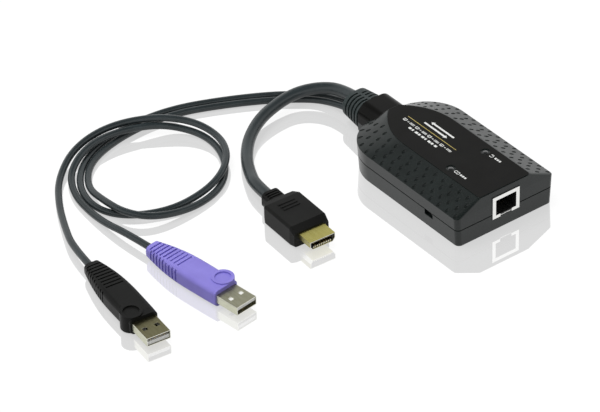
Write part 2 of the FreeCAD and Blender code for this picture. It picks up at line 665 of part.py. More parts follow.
# ---------------------------------------------------------------- leads
# Each route is its control points, from the boot's rear face to the plug's tail.
boot_rear = boot_end.value
USB_TAIL_Z = S["usb_body_thick"].value / 2
HDMI_TAIL_Z = S["hdmi_body_thick"].value / 2
ROUTES = {
    "media_usb_lead": ("usb_lead", [
        (-S["usb_exit_x"].value, boot_rear, S["usb_exit_z"].value), (-2.5, 84, 1.9), (-18, 98.5, 1.7),
        (-42, 112.5, 1.7), (-69, 123.7, 1.7), (-97, 123.7, 1.7), (-121.5, 115.8, 1.7),
        (-134.4, 99.5, 1.7), (-136.2, 82, 4.7), (-134.8, 67.5, 5.6), (-125, 57, 4.3),
        (-104, 54.5, 1.7), (-84, 60, 1.7), (-70.5, 76, 1.7), (-67.2, 95.5, 1.7), (-73.6, 111, 2.6),
        (-86, 117.6, 5.2), (-104, 123.3, 5.4), (-121, 121.3, 5.4), (-135.5, 113.5, 2.1),
        (-143, 99, 1.7), (-144.8, 84.5, 1.7), (-144.2, 70, 2.5), (-142.4, 56, USB_TAIL_Z),
        (-140.01, 38.31, USB_TAIL_Z)]),
    "keyboard_usb_lead": ("usb_lead", [
        (S["usb_exit_x"].value, boot_rear, S["usb_exit_z"].value), (1.3, 84.5, 1.9), (-15, 102, 1.7),
        (-40, 116.3, 1.7), (-68, 127.8, 1.7), (-97, 128.2, 1.7), (-121.5, 120, 1.7),
        (-137.2, 103, 1.7), (-141.2, 83, 1.7), (-132.5, 68.5, 1.7), (-114, 60, 1.7),
        (-95, 59.7, 3.6), (-80, 65, 5.6), (-67.8, 78.5, 5.6), (-62.8, 94.3, 4.8), (-67, 110, 5.4),
        (-80.5, 121.2, 6.3), (-102, 129.4, 6.2), (-124, 125.6, 5.2), (-141.5, 113, 1.9),
        (-152.5, 96, 1.7), (-161, 78, 2.6), (-167.4, 62.1, USB_TAIL_Z),
        (-169.32, 44.21, USB_TAIL_Z)]),
    "hdmi_lead": ("hdmi_lead", [
        (S["hdmi_exit_x"].value, boot_rear, S["hdmi_exit_z"].value), (-0.5, 78.6, 11.2),
        (-5.9, 87.9, 10.1), (-15.2, 93.2, 8.8), (-26.5, 92.9, 7.8), (-40.5, 88.7, 6.2),
        (-53, 80.4, 4.0), (-63.5, 68.5, 3.4), (-71, 56.5, 4.0), (-74.75, 47, HDMI_TAIL_Z),
        (-75.31, 35.35, HDMI_TAIL_Z)]),
}


def lead(label):
    """A plain tube along straight runs joined by tangent arcs."""
    alias, route = ROUTES[label]
    diameter = S[alias].value
    points = [Vector(*p) for p in route]
    edges, at, least = [], points[0], None
    for before, corner, after in zip(points, points[1:], points[2:]):
        way_in, way_out = (corner - before).normalize(), (after - corner).normalize()
        half_turn = way_in.getAngle(way_out) / 2
        shorter = min((corner - before).Length, (after - corner).Length)
        reach = 0.45 * shorter
        radius = reach / math.tan(half_turn)
        least = radius if least is None else min(least, radius)
        inward = (way_out - way_in).normalize()
        start, end = corner - way_in * reach, corner + way_out * reach
        middle = corner + inward * (radius / math.cos(half_turn) - radius)
        edges.append(Part.LineSegment(at, start).toShape())
        edges.append(Part.Arc(start, middle, end).toShape())
        at = end
    edges.append(Part.LineSegment(at, points[-1]).toShape())
    path = Part.Wire(edges)
    ring = Part.Wire(Part.Circle(points[0], points[1] - points[0], diameter / 2).toShape())
    tube = path.makePipeShell([ring], True, True)
    ideal = math.pi * diameter ** 2 / 4 * path.Length
    if abs(tube.Volume / ideal - 1) > 0.01:
        raise RuntimeError(f"{label}: tube volume {tube.Volume:.1f}, section times length {ideal:.1f}")
    feature = doc.addObject("Part::Feature", label)
    feature.Shape = tube
    feature.Placement = Placement()
    node(feature, label)
    print(f"{label}: length {path.Length:.1f}, least radius {least:.1f}")


# ---------------------------------------------------------------- plugs
# Every plug is modelled with its tail at the origin, its tip towards -Y and its base at z = 0.
def set_down(pieces, lead_name, turn):
    """Places a plug's pieces at the end of its lead, turned about Z so that they meet."""
    x, y, _ = ROUTES[lead_name][1][-1]
    for piece in pieces:
        piece.Placement = Placement(Vector(x, y, 0), Rotation(Vector(0, 0, 1), turn))


def usb_stations():
    """Place along the grip from the tail (0) to the front (1), with the width and thickness there."""
    full, front, tail = S["usb_body_width"], S["usb_front_width"], S["usb_tail_width"]
    thick, thin = S["usb_body_thick"] - 0.1, S["usb_tail_thick"]
    return [
        (0.0, tail, thin), (0.13, tail + (full - tail) * 0.36, thin + (thick - thin) * 0.5),
        (0.34, tail + (full - tail) * 0.8, thin + (thick - thin) * 0.95), (0.58, full, thick),
        (0.76, full - (full - front) * 0.15, thick), (0.92, front + (full - front) * 0.4, thick),
        (1.0, front, thick - 0.2)]


def usb_size_at(place):
    """Half the grip's width and half its thickness at a place between two stations."""
    stations = usb_stations()
    for (a, width_a, height_a), (b, width_b, height_b) in zip(stations, stations[1:]):
        if a <= place <= b:
            share = (place - a) / (b - a)
            return ((width_a + (width_b - width_a) * share) / 2,
                    (height_a + (height_b - height_a) * share) / 2)
    raise ValueError(f"place {place} is not on the grip")


def usb_housing(label, side):
    """The soft grip: lofted from a broad front to a ribbed tail, with a round thumb pad."""
    body = new_body(label)
    middle, length = S["usb_body_thick"] / 2, S["usb_body_length"]
    sections = []
    for i, (place, width, height) in enumerate(usb_stations()):
        sketch = new_sketch(body, f"GripSection{i}", "XZ_Plane", length * place)
        loop(sketch, round_box(-(width / 2), width / 2, middle - height / 2, middle + height / 2,
                               S["usb_edge_radius"]))
        sections.append(sketch)
    loft(body, "Grip", "AdditiveLoft", sections, ruled=False, grows=True)
    tip_y = -(length + S["usb_shell_reach"])
    pad_y, pad_x = tip_y + S["usb_pad_y"], S["usb_pad_x"] * side
    plan = new_sketch(body, "PadPlan", "XY_Plane", S["usb_pad_proud"])
    circle(plan, pad_x, pad_y, S["usb_pad"])
    pad(body, "Pad", plan, S["usb_body_thick"])
    dish = new_sketch(body, "PadDishPlan", "XY_Plane", S["usb_body_thick"] + S["usb_pad_proud"])
    circle(dish, pad_x, pad_y, S["usb_pad_dish"])
    pocket(body, "PadDish", dish, S["usb_pad_dish_depth"])
    seat = new_sketch(body, "ShellSeatSection", "XZ_Plane", length + 1.0)
    half, high = S["usb_shell_width"] / 2, S["usb_shell_height"] / 2
    loop(seat, box_corners(-half, half, middle - high, middle + high))
    pocket(body, "ShellSeat", seat, S["usb_socket"] + 1.0)
    # slots across the top and the bottom, and half a pitch further on in both sides
    reach = S["usb_tail_width"] / 2 + S["usb_slot_depth"] * 0.5
    faces = new_sketch(body, "FaceSlotProfile", "YZ_Plane", -reach)
    sides = new_sketch(body, "SideSlotPlan", "XY_Plane", S["usb_body_thick"] + 1.0)
    for i in range(int(S["usb_slots"].value)):
        depth = S["usb_slot_depth"] * (1.0 if i < 5 else 0.55)
        start = S["usb_slot_pitch"] * (i + 1)
        _, tall = usb_size_at(((start + S["usb_slot_width"] / 2) / length).value)
        for sign in (-1, 1):
            loop(faces, box_corners(-start - S["usb_slot_width"], -start,
                                    middle + (tall - depth) * sign, middle + (tall + 1.5) * sign))
        start = start + S["usb_slot_pitch"] / 2
        wide, _ = usb_size_at(((start + S["usb_slot_width"] / 2) / length).value)
        for sign in (-1, 1):
            loop(sides, box_corners((wide - depth) * sign, (wide + 2.0) * sign,
                                    -start - S["usb_slot_width"], -start))
    pocket(body, "FaceSlots", faces, reach * 2, reverse=True)
    pocket(body, "SideSlots", sides, S["usb_body_thick"] + 2.0)
    return body


def usb_shell(label):
    """The sheet-metal plug: an open box with two square windows above and below."""
    body = new_body(label)
    middle, length = S["usb_body_thick"] / 2, S["usb_body_length"]
    half, high = S["usb_shell_width"] / 2, S["usb_shell_height"] / 2
    reach = S["usb_shell_reach"] + S["usb_socket"]
    section = new_sketch(body, "ShellSection", "XZ_Plane", length - S["usb_socket"])
    loop(section, round_box(-half, half, middle - high, middle + high, 0.5))
    pad(body, "Shell", section, reach)
    sheet_thick = S["usb_sheet"]
    bore = new_sketch(body, "BoreSection", "XZ_Plane", length + S["usb_shell_reach"] + 1.0)
    loop(bore, round_box(-half + sheet_thick, half - sheet_thick, middle - high + sheet_thick,
                         middle + high - sheet_thick, 0.2))
    pocket(body, "Bore", bore, reach + 1.0 - sheet_thick)
    windows = new_sketch(body, "WindowPlan", "XY_Plane", Dim.of(0.0))
    y = -(length + S["usb_shell_reach"] - S["usb_hole_y"])
    size = S["usb_hole"] / 2
    for x in (-S["usb_hole_x"], S["usb_hole_x"]):
        loop(windows, box_corners(x - size, x + size, y - size, y + size))
    pocket(body, "Windows", windows, S["usb_body_thick"], reverse=True)
    return body


def usb_tongue(label, side):
    """The plastic contact carrier, against the top wall for side +1 and the bottom for -1."""
    middle, length = S["usb_body_thick"] / 2, S["usb_body_length"]
    gap = S["fit_gap"]
    half = S["usb_shell_width"] / 2 - S["usb_sheet"] - gap
    wall = S["usb_shell_height"] / 2 - S["usb_sheet"] - gap / 2
    low = middle + (wall - S["usb_tongue_height"] if side > 0 else -wall)
    front = length + S["usb_shell_reach"] - S["usb_tongue_back"]
    back = length - S["usb_socket"] + S["usb_sheet"]
    body = new_body(label)
    section = new_sketch(body, "TongueSection", "XZ_Plane", back)
    loop(section, box_corners(-half, half, low, low + S["usb_tongue_height"]))
    pad(body, "Tongue", section, front - back)
    return body


def usb_contacts(label, side):
    """Four gilt pads on the tongue's free face."""
    middle, length = S["usb_body_thick"] / 2, S["usb_body_length"]
    wall = S["usb_shell_height"] / 2 - S["usb_sheet"] - S["fit_gap"] / 2
    free = middle + (wall - S["usb_tongue_height"]) * side
    level = free - S["usb_contact_height"] if side > 0 else free
    front = -(length + S["usb_shell_reach"] - S["usb_tongue_back"] - 1.0)
    pads = []
    for i, x in enumerate((-3.5, -1.0, 1.0, 3.5)):
        pads.append(part_box(f"{label}Pad{i}", Dim.of(x) - S["usb_contact_width"] / 2, front, level,
                             S["usb_contact_width"], S["usb_contact_length"],
                             S["usb_contact_height"]))
    return node(join(f"{label}Group", "Part::Compound", pads), label)


def usb_plug(prefix, lead_name, side, turn):
    pieces = [usb_housing(f"{prefix}_housing", side), usb_shell(f"{prefix}_shell"),
              usb_tongue(f"{prefix}_tongue", side), usb_contacts(f"{prefix}_contacts", side)]
    set_down(pieces, lead_name, turn)


def trapezoid(half_top, half_base, low, high, chamfer_height):
    """An HDMI plug's section: wide above, drawn in by a bevel towards its base."""
    return [(-half_base, low), (half_base, low), (half_top, low + chamfer_height),
            (half_top, high), (-half_top, high), (-half_top, low + chamfer_height)]


def hdmi_plug(turn):
    middle, length = S["hdmi_body_thick"] / 2, S["hdmi_body_length"] + S["hdmi_neck_length"]
    thick, width, neck = S["hdmi_body_thick"], S["hdmi_body_width"], S["hdmi_neck_width"]
    half = width / 2
    body = new_body("hdmi_plug_housing")
    rear = -S["hdmi_neck_length"]
    slope, nose, drop = S["hdmi_shoulder"], S["hdmi_nose"], S["hdmi_nose_drop"]
    sections = []
    for i, (y, inset, fall) in enumerate((
            (rear, slope, slope * 0.4), (rear - slope * 0.35, slope * 0.35, slope * 0.12),
            (rear - slope, Dim.of(0.0), Dim.of(0.0)), (nose - length, Dim.of(0.0), Dim.of(0.0)),
            (-length, drop * 0.2, drop))):
        low = drop * 0.2 if i == 4 else fall
        sketch = new_sketch(body, f"BlockSection{i}", "XZ_Plane", -y)
        loop(sketch, round_box(-half + inset, half - inset, low, thick - fall, S["hdmi_corner"]))
        sections.append(sketch)
    loft(body, "Block", "AdditiveLoft", sections, ruled=True, grows=True)
    tail = new_sketch(body, "NeckSection", "XZ_Plane", Dim.of(0.0))
    loop(tail, round_box(-(neck / 2), neck / 2, middle - neck / 2 + 0.6, middle + neck / 2 - 0.6, 2.6))
    pad(body, "Neck", tail, S["hdmi_neck_length"] + 1.0)
    for i in range(3):
        ring = new_sketch(body, f"NeckSlotPlan{i}", "XY_Plane", thick + 1.0)
        y = -(Dim.of(1.6) + S["hdmi_neck_length"] / 3.6 * i)
        loop(ring, box_corners(-(neck / 2) - 1.0, neck / 2 + 1.0, y - 0.9, y))
        pocket(body, f"NeckSlot{i}", ring, thick / 2 - neck / 2 + 0.6 + 1.0 + 0.7)
    tip = length + S["hdmi_shell_reach"]
    wide, base, high = S["hdmi_shell_width"] / 2, S["hdmi_shell_base"] / 2, S["hdmi_shell_height"] / 2
    bevel = 1.6
    seat = new_sketch(body, "ShellSeatSection", "XZ_Plane", length + 1.0)
    loop(seat, trapezoid(wide, base, middle - high, middle + high, bevel))
    pocket(body, "ShellSeat", seat, S["hdmi_socket"] + 1.0)
    # embossed grip bars on the top face
    bars = new_sketch(body, "GripBarPlan", "XY_Plane", thick - 0.5)
    for i in range(3):
        y = rear - 7.0 - i * 2.2
        loop(bars, box_corners(Dim.of(-4.5), Dim.of(4.5), y - 0.9, y))
    pad(body, "GripBars", bars, Dim.of(0.8))

    shell = new_body("hdmi_plug_shell")
    reach = S["hdmi_shell_reach"] + S["hdmi_socket"]
    section = new_sketch(shell, "ShellSection", "XZ_Plane", length - S["hdmi_socket"])
    loop(section, trapezoid(wide, base, middle - high, middle + high, bevel))
    pad(shell, "Shell", section, reach)
    thin = S["hdmi_sheet"]
    bore = new_sketch(shell, "BoreSection", "XZ_Plane", tip + 1.0)
    loop(bore, trapezoid(wide - thin, base - thin * 0.6, middle - high + thin, middle + high - thin,
                         bevel))
    pocket(shell, "Bore", bore, reach + 1.0 - thin)

    insert = new_body("hdmi_plug_insert")
    gap = S["fit_gap"] / 2
    section = new_sketch(insert, "InsertSection", "XZ_Plane", length - S["hdmi_socket"] + thin)
    inner = thin + gap
    loop(section, trapezoid(wide - inner, base - inner * 0.7, middle - high + inner,
                            middle + high - inner, bevel))
    pad(insert, "Insert", section, reach - thin - 0.6)
    slot = new_sketch(insert, "SlotSection", "XZ_Plane", tip + 1.0)
    slot_half, slot_high = S["hdmi_slot_width"] / 2, S["hdmi_slot_height"] / 2
    loop(slot, box_corners(-slot_half, slot_half, middle - slot_high, middle + slot_high))
    pocket(insert, "Slot", slot, S["hdmi_slot_depth"] + 1.6)

    # ten contacts in the slot's roof and nine in its floor
    bars = []
    depth = S["hdmi_slot_depth"] - 1.0
    height, bar = S["hdmi_contact_height"], S["hdmi_contact_width"]
    for row, (count, level) in enumerate(((10, middle + slot_high - height), (9, middle - slot_high))):
        for i in range(count):
            x = S["hdmi_contact_pitch"] * (i - (count - 1) / 2) - bar / 2
            bars.append(part_box(f"HdmiPin{row}_{i}", x, -(tip - 0.8), level, bar, depth, height))
    pins = node(join("HdmiPins", "Part::Compound", bars), "hdmi_plug_contacts")
    set_down([body, shell, insert, pins], "hdmi_lead", turn)


# ---------------------------------------------------------------- build
bottom_shell()
top_shell()
cable_boot()
housing_screws()
circuit_board()
board_chips()
status_lights()
jack_shield()
jack_insert()
jack_contacts()
switch_frame()
switch_knob()
for name in ROUTES:
    lead(name)
usb_plug("media_usb", "media_usb_lead", 1, 7.65)
usb_plug("keyboard_usb", "keyboard_usb_lead", -1, -6.0)
hdmi_plug(-2.7)

doc.recompute()
for obj in doc.Objects:
    if "Invalid" in obj.State or "Error" in obj.State:
        raise RuntimeError(f"{obj.Label} failed: {obj.State}")
os.makedirs("parts", exist_ok=True)
for piece in nodes:
    if piece.Shape.isNull() or not piece.Shape.isValid():
        raise RuntimeError(f"{piece.Label} has no valid shape")
for piece in nodes:
    piece.Shape.exportStep(f"parts/{piece.Label}.step")
print(f"{len(nodes)} nodes written")
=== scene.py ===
"""Dressed model of a KVM adapter dongle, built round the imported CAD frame, in metres."""
import math

import bmesh
import bpy
from mathutils import Matrix, Vector


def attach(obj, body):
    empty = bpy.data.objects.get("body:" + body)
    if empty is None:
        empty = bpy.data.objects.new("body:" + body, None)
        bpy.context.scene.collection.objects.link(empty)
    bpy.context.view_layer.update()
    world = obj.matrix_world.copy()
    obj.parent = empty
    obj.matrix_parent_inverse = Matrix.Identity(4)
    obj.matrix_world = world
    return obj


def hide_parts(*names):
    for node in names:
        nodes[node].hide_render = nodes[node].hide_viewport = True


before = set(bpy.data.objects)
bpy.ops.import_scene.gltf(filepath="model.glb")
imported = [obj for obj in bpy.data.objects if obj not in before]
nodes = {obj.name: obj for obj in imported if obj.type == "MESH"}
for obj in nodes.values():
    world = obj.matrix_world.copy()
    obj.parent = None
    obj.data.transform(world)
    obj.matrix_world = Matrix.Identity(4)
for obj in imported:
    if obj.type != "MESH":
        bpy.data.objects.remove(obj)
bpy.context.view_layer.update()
mm = 0.001

# ---------------------------------------------------------------- top housing shell
# Moulded ABS lid: satin sloping shoulders with rows of pressed oval dimples round a polished
# flat panel. It is moulded in one piece with the upper half of the neck and screwed to the
# bottom shell along the parting groove.
SHELL = dict(
    half_width=28.9 * mm, rear=44.0 * mm, rear_radius=22.0 * mm, shoulder_foot=15.0 * mm,
    panel_half=15.5 * mm, panel_side_end=12.0 * mm, panel_rear=38.5 * mm,
    panel_rear_half=3.0 * mm, panel_base=21.15 * mm, panel_top=21.5 * mm, panel_skin=0.01 * mm,
    edge=0.22 * mm)
NECK = dict(half=10.2 * mm, behind_shell=SHELL["rear"] - 0.5 * mm,
            behind_panel=SHELL["panel_rear"] + 0.3 * mm)
DIMPLE = dict(pitch=5.7 * mm, length=1.45 * mm, width=0.8 * mm, depth=0.8 * mm,
              rows=(0.17, 0.41, 0.65, 0.89), first=-38.4 * mm, neck_gap=12.5 * mm,
              arc_steps=40, lift_mm=0.05, sides=12, rings=7)
MOULD = dict(cloud_scale=90.0, cloud_detail=3.0, dark_until=0.35, light_from=0.68,
             roughness_spread=0.05, grain_height=0.05 * mm, coat_roughness=0.03)
WELD = 0.002 * mm  # corners of a CAD mesh nearer than this are one corner


def new_material(name):
    """A material with its node tree and its Principled shader."""
    material = bpy.data.materials.new(name)
    material.use_nodes = True
    tree = material.node_tree
    return material, tree, tree.nodes["Principled BSDF"]


def wired(tree, *links):
    """Joins sockets, each link given as node, output, node, input."""
    for giver, output, taker, into in links:
        tree.links.new(giver.outputs[output], taker.inputs[into])


def noise(tree, scale, detail=2.0):
    clouds = tree.nodes.new("ShaderNodeTexNoise")
    clouds.inputs["Scale"].default_value = scale
    clouds.inputs["Detail"].default_value = detail
    return clouds


def colour_ramp(tree, start, stop, dark, light):
    """Two shades and where the change between them starts and stops."""
    ramp = tree.nodes.new("ShaderNodeValToRGB")
    low, high = ramp.color_ramp.elements
    low.position, high.position = start, stop
    low.color, high.color = dark, light
    return ramp


def spread(tree, low, high):
    """Turns a noise into a roughness between two values."""
    wear = tree.nodes.new("ShaderNodeMapRange")
    wear.inputs["To Min"].default_value = low
    wear.inputs["To Max"].default_value = high
    return wear


def bumps(tree, strength, distance):
    bump = tree.nodes.new("ShaderNodeBump")
    bump.inputs["Strength"].default_value = strength
    bump.inputs["Distance"].default_value = distance
    return bump


def moulded(name, dark, light, roughness, grain, depth, gloss=0.5, coat=0.0):
    """Moulded plastic or rubber: two close shades in soft clouds, and a fine spark-eroded grain."""
    material, tree, shader = new_material(name)
    shader.inputs["Specular IOR Level"].default_value = gloss
    shader.inputs["Coat Weight"].default_value = coat
    shader.inputs["Coat Roughness"].default_value = MOULD["coat_roughness"]
    place = tree.nodes.new("ShaderNodeTexCoord")
    clouds, fine = noise(tree, MOULD["cloud_scale"], MOULD["cloud_detail"]), noise(tree, grain)
    shade = colour_ramp(tree, MOULD["dark_until"], MOULD["light_from"], dark, light)
    either_way = MOULD["roughness_spread"]
    wear = spread(tree, roughness - either_way, roughness + either_way)
    bump = bumps(tree, depth, MOULD["grain_height"])
    wired(tree, (place, "Object", clouds, "Vector"), (place, "Object", fine, "Vector"),
          (clouds, "Fac", shade, "Fac"), (shade, "Color", shader, "Base Color"),
          (fine, "Fac", wear, "Value"), (wear, "Result", shader, "Roughness"),
          (fine, "Fac", bump, "Height"), (bump, "Normal", shader, "Normal"))
    return material


def set_material(piece, *materials):
    piece.data.materials.clear()
    for material in materials:
        piece.data.materials.append(material)


def new_piece(name, mesh):
    piece = bpy.data.objects.new(name, mesh)
    bpy.context.collection.objects.link(piece)
    return piece


def drop_normals(piece):
    """Takes stored corner normals off, so that shading follows the faces."""
    stored = piece.data.attributes.get("custom_normal")
    if stored is not None:
        piece.data.attributes.remove(stored)


def merged_copy(node, name):
    """A copy of a CAD node with its loose triangles joined into one closed skin."""
    piece = new_piece(name, nodes[node].data.copy())
    skin = bmesh.new()
    skin.from_mesh(piece.data)
    bmesh.ops.remove_doubles(skin, verts=skin.verts, dist=WELD)
    skin.to_mesh(piece.data)
    skin.free()
    drop_normals(piece)
    return piece


def apply_modifiers(piece):
    """Turns the piece's modifiers into plain mesh."""
    graph = bpy.context.evaluated_depsgraph_get()
    mesh = bpy.data.meshes.new_from_object(piece.evaluated_get(graph))
    piece.modifiers.clear()
    old, piece.data = piece.data, mesh
    bpy.data.meshes.remove(old)


def round_edges(piece, width, angle=32.0):
    """Breaks the sharp moulded edges, as the real tool's small corner radii do."""
    bevel = piece.modifiers.new("Corner radius", "BEVEL")
    bevel.width, bevel.segments = width, 2
    bevel.limit_method, bevel.angle_limit = "ANGLE", math.radians(angle)
    bevel.miter_outer = "MITER_ARC"
    apply_modifiers(piece)


def even_shading(piece, angle=30.0):
    """Flat faces shade flat, and only the small radii between them shade round."""
    drop_normals(piece)
    piece.data.set_sharp_from_angle(angle=math.radians(angle))
    weighted = piece.modifiers.new("Even shading", "WEIGHTED_NORMAL")
    weighted.mode, weighted.weight, weighted.keep_sharp = "FACE_AREA", 50, True
    apply_modifiers(piece)


def plan_point(half, side_end, nose, rear, along):
    """A point of a plan outline's right half, from the end of its straight side (along 0)
    round the large arc to the nose (along 1)."""
    centre = (half * half - nose * nose - (rear - side_end) ** 2) / (2 * (half - nose))
    radius = half - centre
    sweep = math.atan2(rear - side_end, nose - centre) * along
    return Vector((centre + radius * math.cos(sweep), side_end + radius * math.sin(sweep), 0))


def shoulder_point(row, along):
    """A point on the right shoulder: row runs from the panel's rim (0) to the wall (1), and
    along from 0 where the straight side ends to 1 at the nose."""
    rim = plan_point(SHELL["panel_half"], SHELL["panel_side_end"], SHELL["panel_rear_half"],
                     SHELL["panel_rear"], along)
    rim.z = SHELL["panel_base"]
    foot = plan_point(SHELL["half_width"], SHELL["rear"] - SHELL["rear_radius"],
                      SHELL["half_width"] - SHELL["rear_radius"], SHELL["rear"], along)
    foot.z = SHELL["shoulder_foot"]
    return rim.lerp(foot, row)


def shoulder_normal(row, along):
    """The right shoulder's upward direction, from one step down the slope and one step back."""
    down_step, back_step = 0.05, 0.01
    here, down = shoulder_point(row, along), shoulder_point(row + down_step, along)
    if along > 0:
        back = shoulder_point(row, along + back_step)
    else:
        back = here + Vector((0, mm, 0))
    normal = (down - here).cross(back - here).normalized()
    if normal.z < 0:
        normal.negate()
    return normal


def dimple_rows():
    """Guide lines on both shoulders, one for each row of dimples, with the surface's outward
    direction stored on their points."""
    points, outward, lines = [], [], []
    for side in (-1, 1):
        for number, row in enumerate(DIMPLE["rows"]):
            start = shoulder_point(row, 0.0)
            start.y = DIMPLE["first"] - DIMPLE["pitch"] / 2 * (number % 2)
            route = [(start, 0.0)]
            for step in range(DIMPLE["arc_steps"] + 1):
                along = step / DIMPLE["arc_steps"]
                point = shoulder_point(row, along)
                if point.x > DIMPLE["neck_gap"]:
                    route.append((point, along))
            for point, along in route:
                normal = shoulder_normal(row, along)
                facing = Vector((normal.x * side, normal.y, normal.z))
                lifted = facing * DIMPLE["lift_mm"] * mm
                points.append(Vector((point.x * side, point.y, point.z)) + lifted)
                outward.append(facing)
            last = len(points) - 1
            lines += [(i, i + 1) for i in range(last - len(route) + 1, last)]
    mesh = bpy.data.meshes.new("Dimple rows")
    mesh.from_pydata(points, lines, [])
    stored = mesh.attributes.new("outward", "FLOAT_VECTOR", "POINT")
    for item, value in zip(stored.data, outward):
        item.vector = value
    return new_piece("Dimple rows", mesh)


def new_growth(name, geometry, values, result):
    """A Geometry Nodes tree with named inputs, and its input and output nodes."""
    tree = bpy.data.node_groups.new(name, "GeometryNodeTree")
    socket = tree.interface.new_socket
    socket(geometry, in_out="INPUT", socket_type="NodeSocketGeometry")
    for label, kind in values:
        socket(label, in_out="INPUT", socket_type=f"NodeSocket{kind}")
    socket("Material", in_out="INPUT", socket_type="NodeSocketMaterial")
    socket(result, in_out="OUTPUT", socket_type="NodeSocketGeometry")
    return tree, tree.nodes.new("NodeGroupInput"), tree.nodes.new("NodeGroupOutput")


def dimple_tree():
    """Lens shapes set along guide lines at one pitch, long way down the slope."""
    sizes = [(label, "Float") for label in ("Pitch", "Length", "Width", "Depth")]
    tree, given, made = new_growth("Shoulder dimples", "Rows", sizes, "Lenses")
    new = tree.nodes.new
    lines = new("GeometryNodeMeshToCurve")
    even = new("GeometryNodeResampleCurve")
    even.mode = "LENGTH"
    outward = new("GeometryNodeInputNamedAttribute")
    outward.data_type = "FLOAT_VECTOR"
    outward.inputs["Name"].default_value = "outward"
    upright = new("FunctionNodeAlignRotationToVector")
    upright.axis = "Z"
    turned = new("FunctionNodeAlignRotationToVector")
    turned.axis, turned.pivot_axis = "Y", "Z"
    tangent = new("GeometryNodeInputTangent")
    lens = new("GeometryNodeMeshUVSphere")
    lens.inputs["Segments"].default_value = DIMPLE["sides"]
    lens.inputs["Rings"].default_value = DIMPLE["rings"]
    lens.inputs["Radius"].default_value = 1.0
    size = new("ShaderNodeCombineXYZ")
    place = new("GeometryNodeInstanceOnPoints")
    real = new("GeometryNodeRealizeInstances")
    finish = new("GeometryNodeSetMaterial")
    wired(tree, (given, "Rows", lines, "Mesh"), (lines, "Curve", even, "Curve"),
          (given, "Pitch", even, "Length"), (outward, "Attribute", upright, "Vector"),
          (upright, "Rotation", turned, "Rotation"), (tangent, "Tangent", turned, "Vector"),
          (given, "Length", size, "X"), (given, "Width", size, "Y"), (given, "Depth", size, "Z"),
          (even, "Curve", place, "Points"), (lens, "Mesh", place, "Instance"),
          (turned, "Rotation", place, "Rotation"), (size, "Vector", place, "Scale"),
          (place, "Instances", real, "Geometry"), (real, "Geometry", finish, "Geometry"),
          (given, "Material", finish, "Material"), (finish, "Geometry", made, "Lenses"))
    return tree


def grown(piece, tree, **values):
    """Runs a node tree with its named inputs on a piece and keeps the result as plain mesh."""
    growth = piece.modifiers.new(tree.name, "NODES")
    growth.node_group = tree
    for item in tree.interface.items_tree:
        if item.name in values:
            growth[item.identifier] = values[item.name]
    apply_modifiers(piece)
    return piece


housing_plastic = moulded("Housing plastic", (0.0072, 0.0106, 0.0100, 1),
                          (0.0100, 0.0145, 0.0138, 1), 0.30, 5200, 0.22, gloss=0.4)
panel_plastic = moulded("Polished panel plastic", (0.0066, 0.0066, 0.0061, 1),
                        (0.0085, 0.0085, 0.0079, 1), 0.16, 900, 0.02, gloss=0.06)

lid = merged_copy("top_shell", "housing_lid")
round_edges(lid, SHELL["edge"])
lenses = grown(dimple_rows(), dimple_tree(), Pitch=DIMPLE["pitch"], Length=DIMPLE["length"],
               Width=DIMPLE["width"], Depth=DIMPLE["depth"], Material=housing_plastic)
pressed = lid.modifiers.new("Dimples", "BOOLEAN")
pressed.operation, pressed.solver, pressed.object = "DIFFERENCE", "EXACT", lenses
apply_modifiers(lid)
bpy.data.objects.remove(lenses)
even_shading(lid)
set_material(lid, housing_plastic, panel_plastic)
for face in lid.data.polygons:
    on_panel = face.center.z > SHELL["panel_top"] - SHELL["panel_skin"]
    on_neck = face.center.y > NECK["behind_shell"] or (
        abs(face.center.x) < NECK["half"] and face.center.y > NECK["behind_panel"])
    face.material_index = 1 if on_panel or on_neck else 0
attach(lid, "housing")
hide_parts("top_shell")

# ---------------------------------------------------------------- bottom housing shell
# The tray that everything is screwed into, moulded in the same ABS. Its top edge is stepped in,
# which leaves the dark parting groove, and its wall has the window of the recovery switch.
TRAY_EDGE = 0.2 * mm
tray = merged_copy("bottom_shell", "housing_tray")
round_edges(tray, TRAY_EDGE)
even_shading(tray)
set_material(tray, housing_plastic)
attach(tray, "housing")
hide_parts("bottom_shell")

# ---------------------------------------------------------------- prints on the panel
# Pad-printed marks in two inks: a gold hairline down the middle, plain picture signs on both
# sides of it, and by each light a small sign, a broken ring for power and two rings for the link.
PRINT = dict(thick=0.02 * mm, line_x=0.5 * mm, line_rear=27.8 * mm, line_front=-7.6 * mm,
             line_width=0.34 * mm, light_x=10.3 * mm, light_y=-17.0 * mm)
INK = dict(patch_scale=1500.0, thin=0.72, thin_until=0.25, full_from=0.5)
ARROW_HEAD = 0.8  # an arrow head's length as a share of its height


def ink(name, colour, roughness):
    """Printing ink with a slightly patchy cover."""
    material, tree, shader = new_material(name)
    shader.inputs["Roughness"].default_value = roughness
    place = tree.nodes.new("ShaderNodeTexCoord")
    patch = noise(tree, INK["patch_scale"])
    thin = tuple(c * INK["thin"] for c in colour) + (1,)
    cover = colour_ramp(tree, INK["thin_until"], INK["full_from"], thin, colour + (1,))
    wired(tree, (place, "Object", patch, "Vector"), (patch, "Fac", cover, "Fac"),
          (cover, "Color", shader, "Base Color"))
    return material


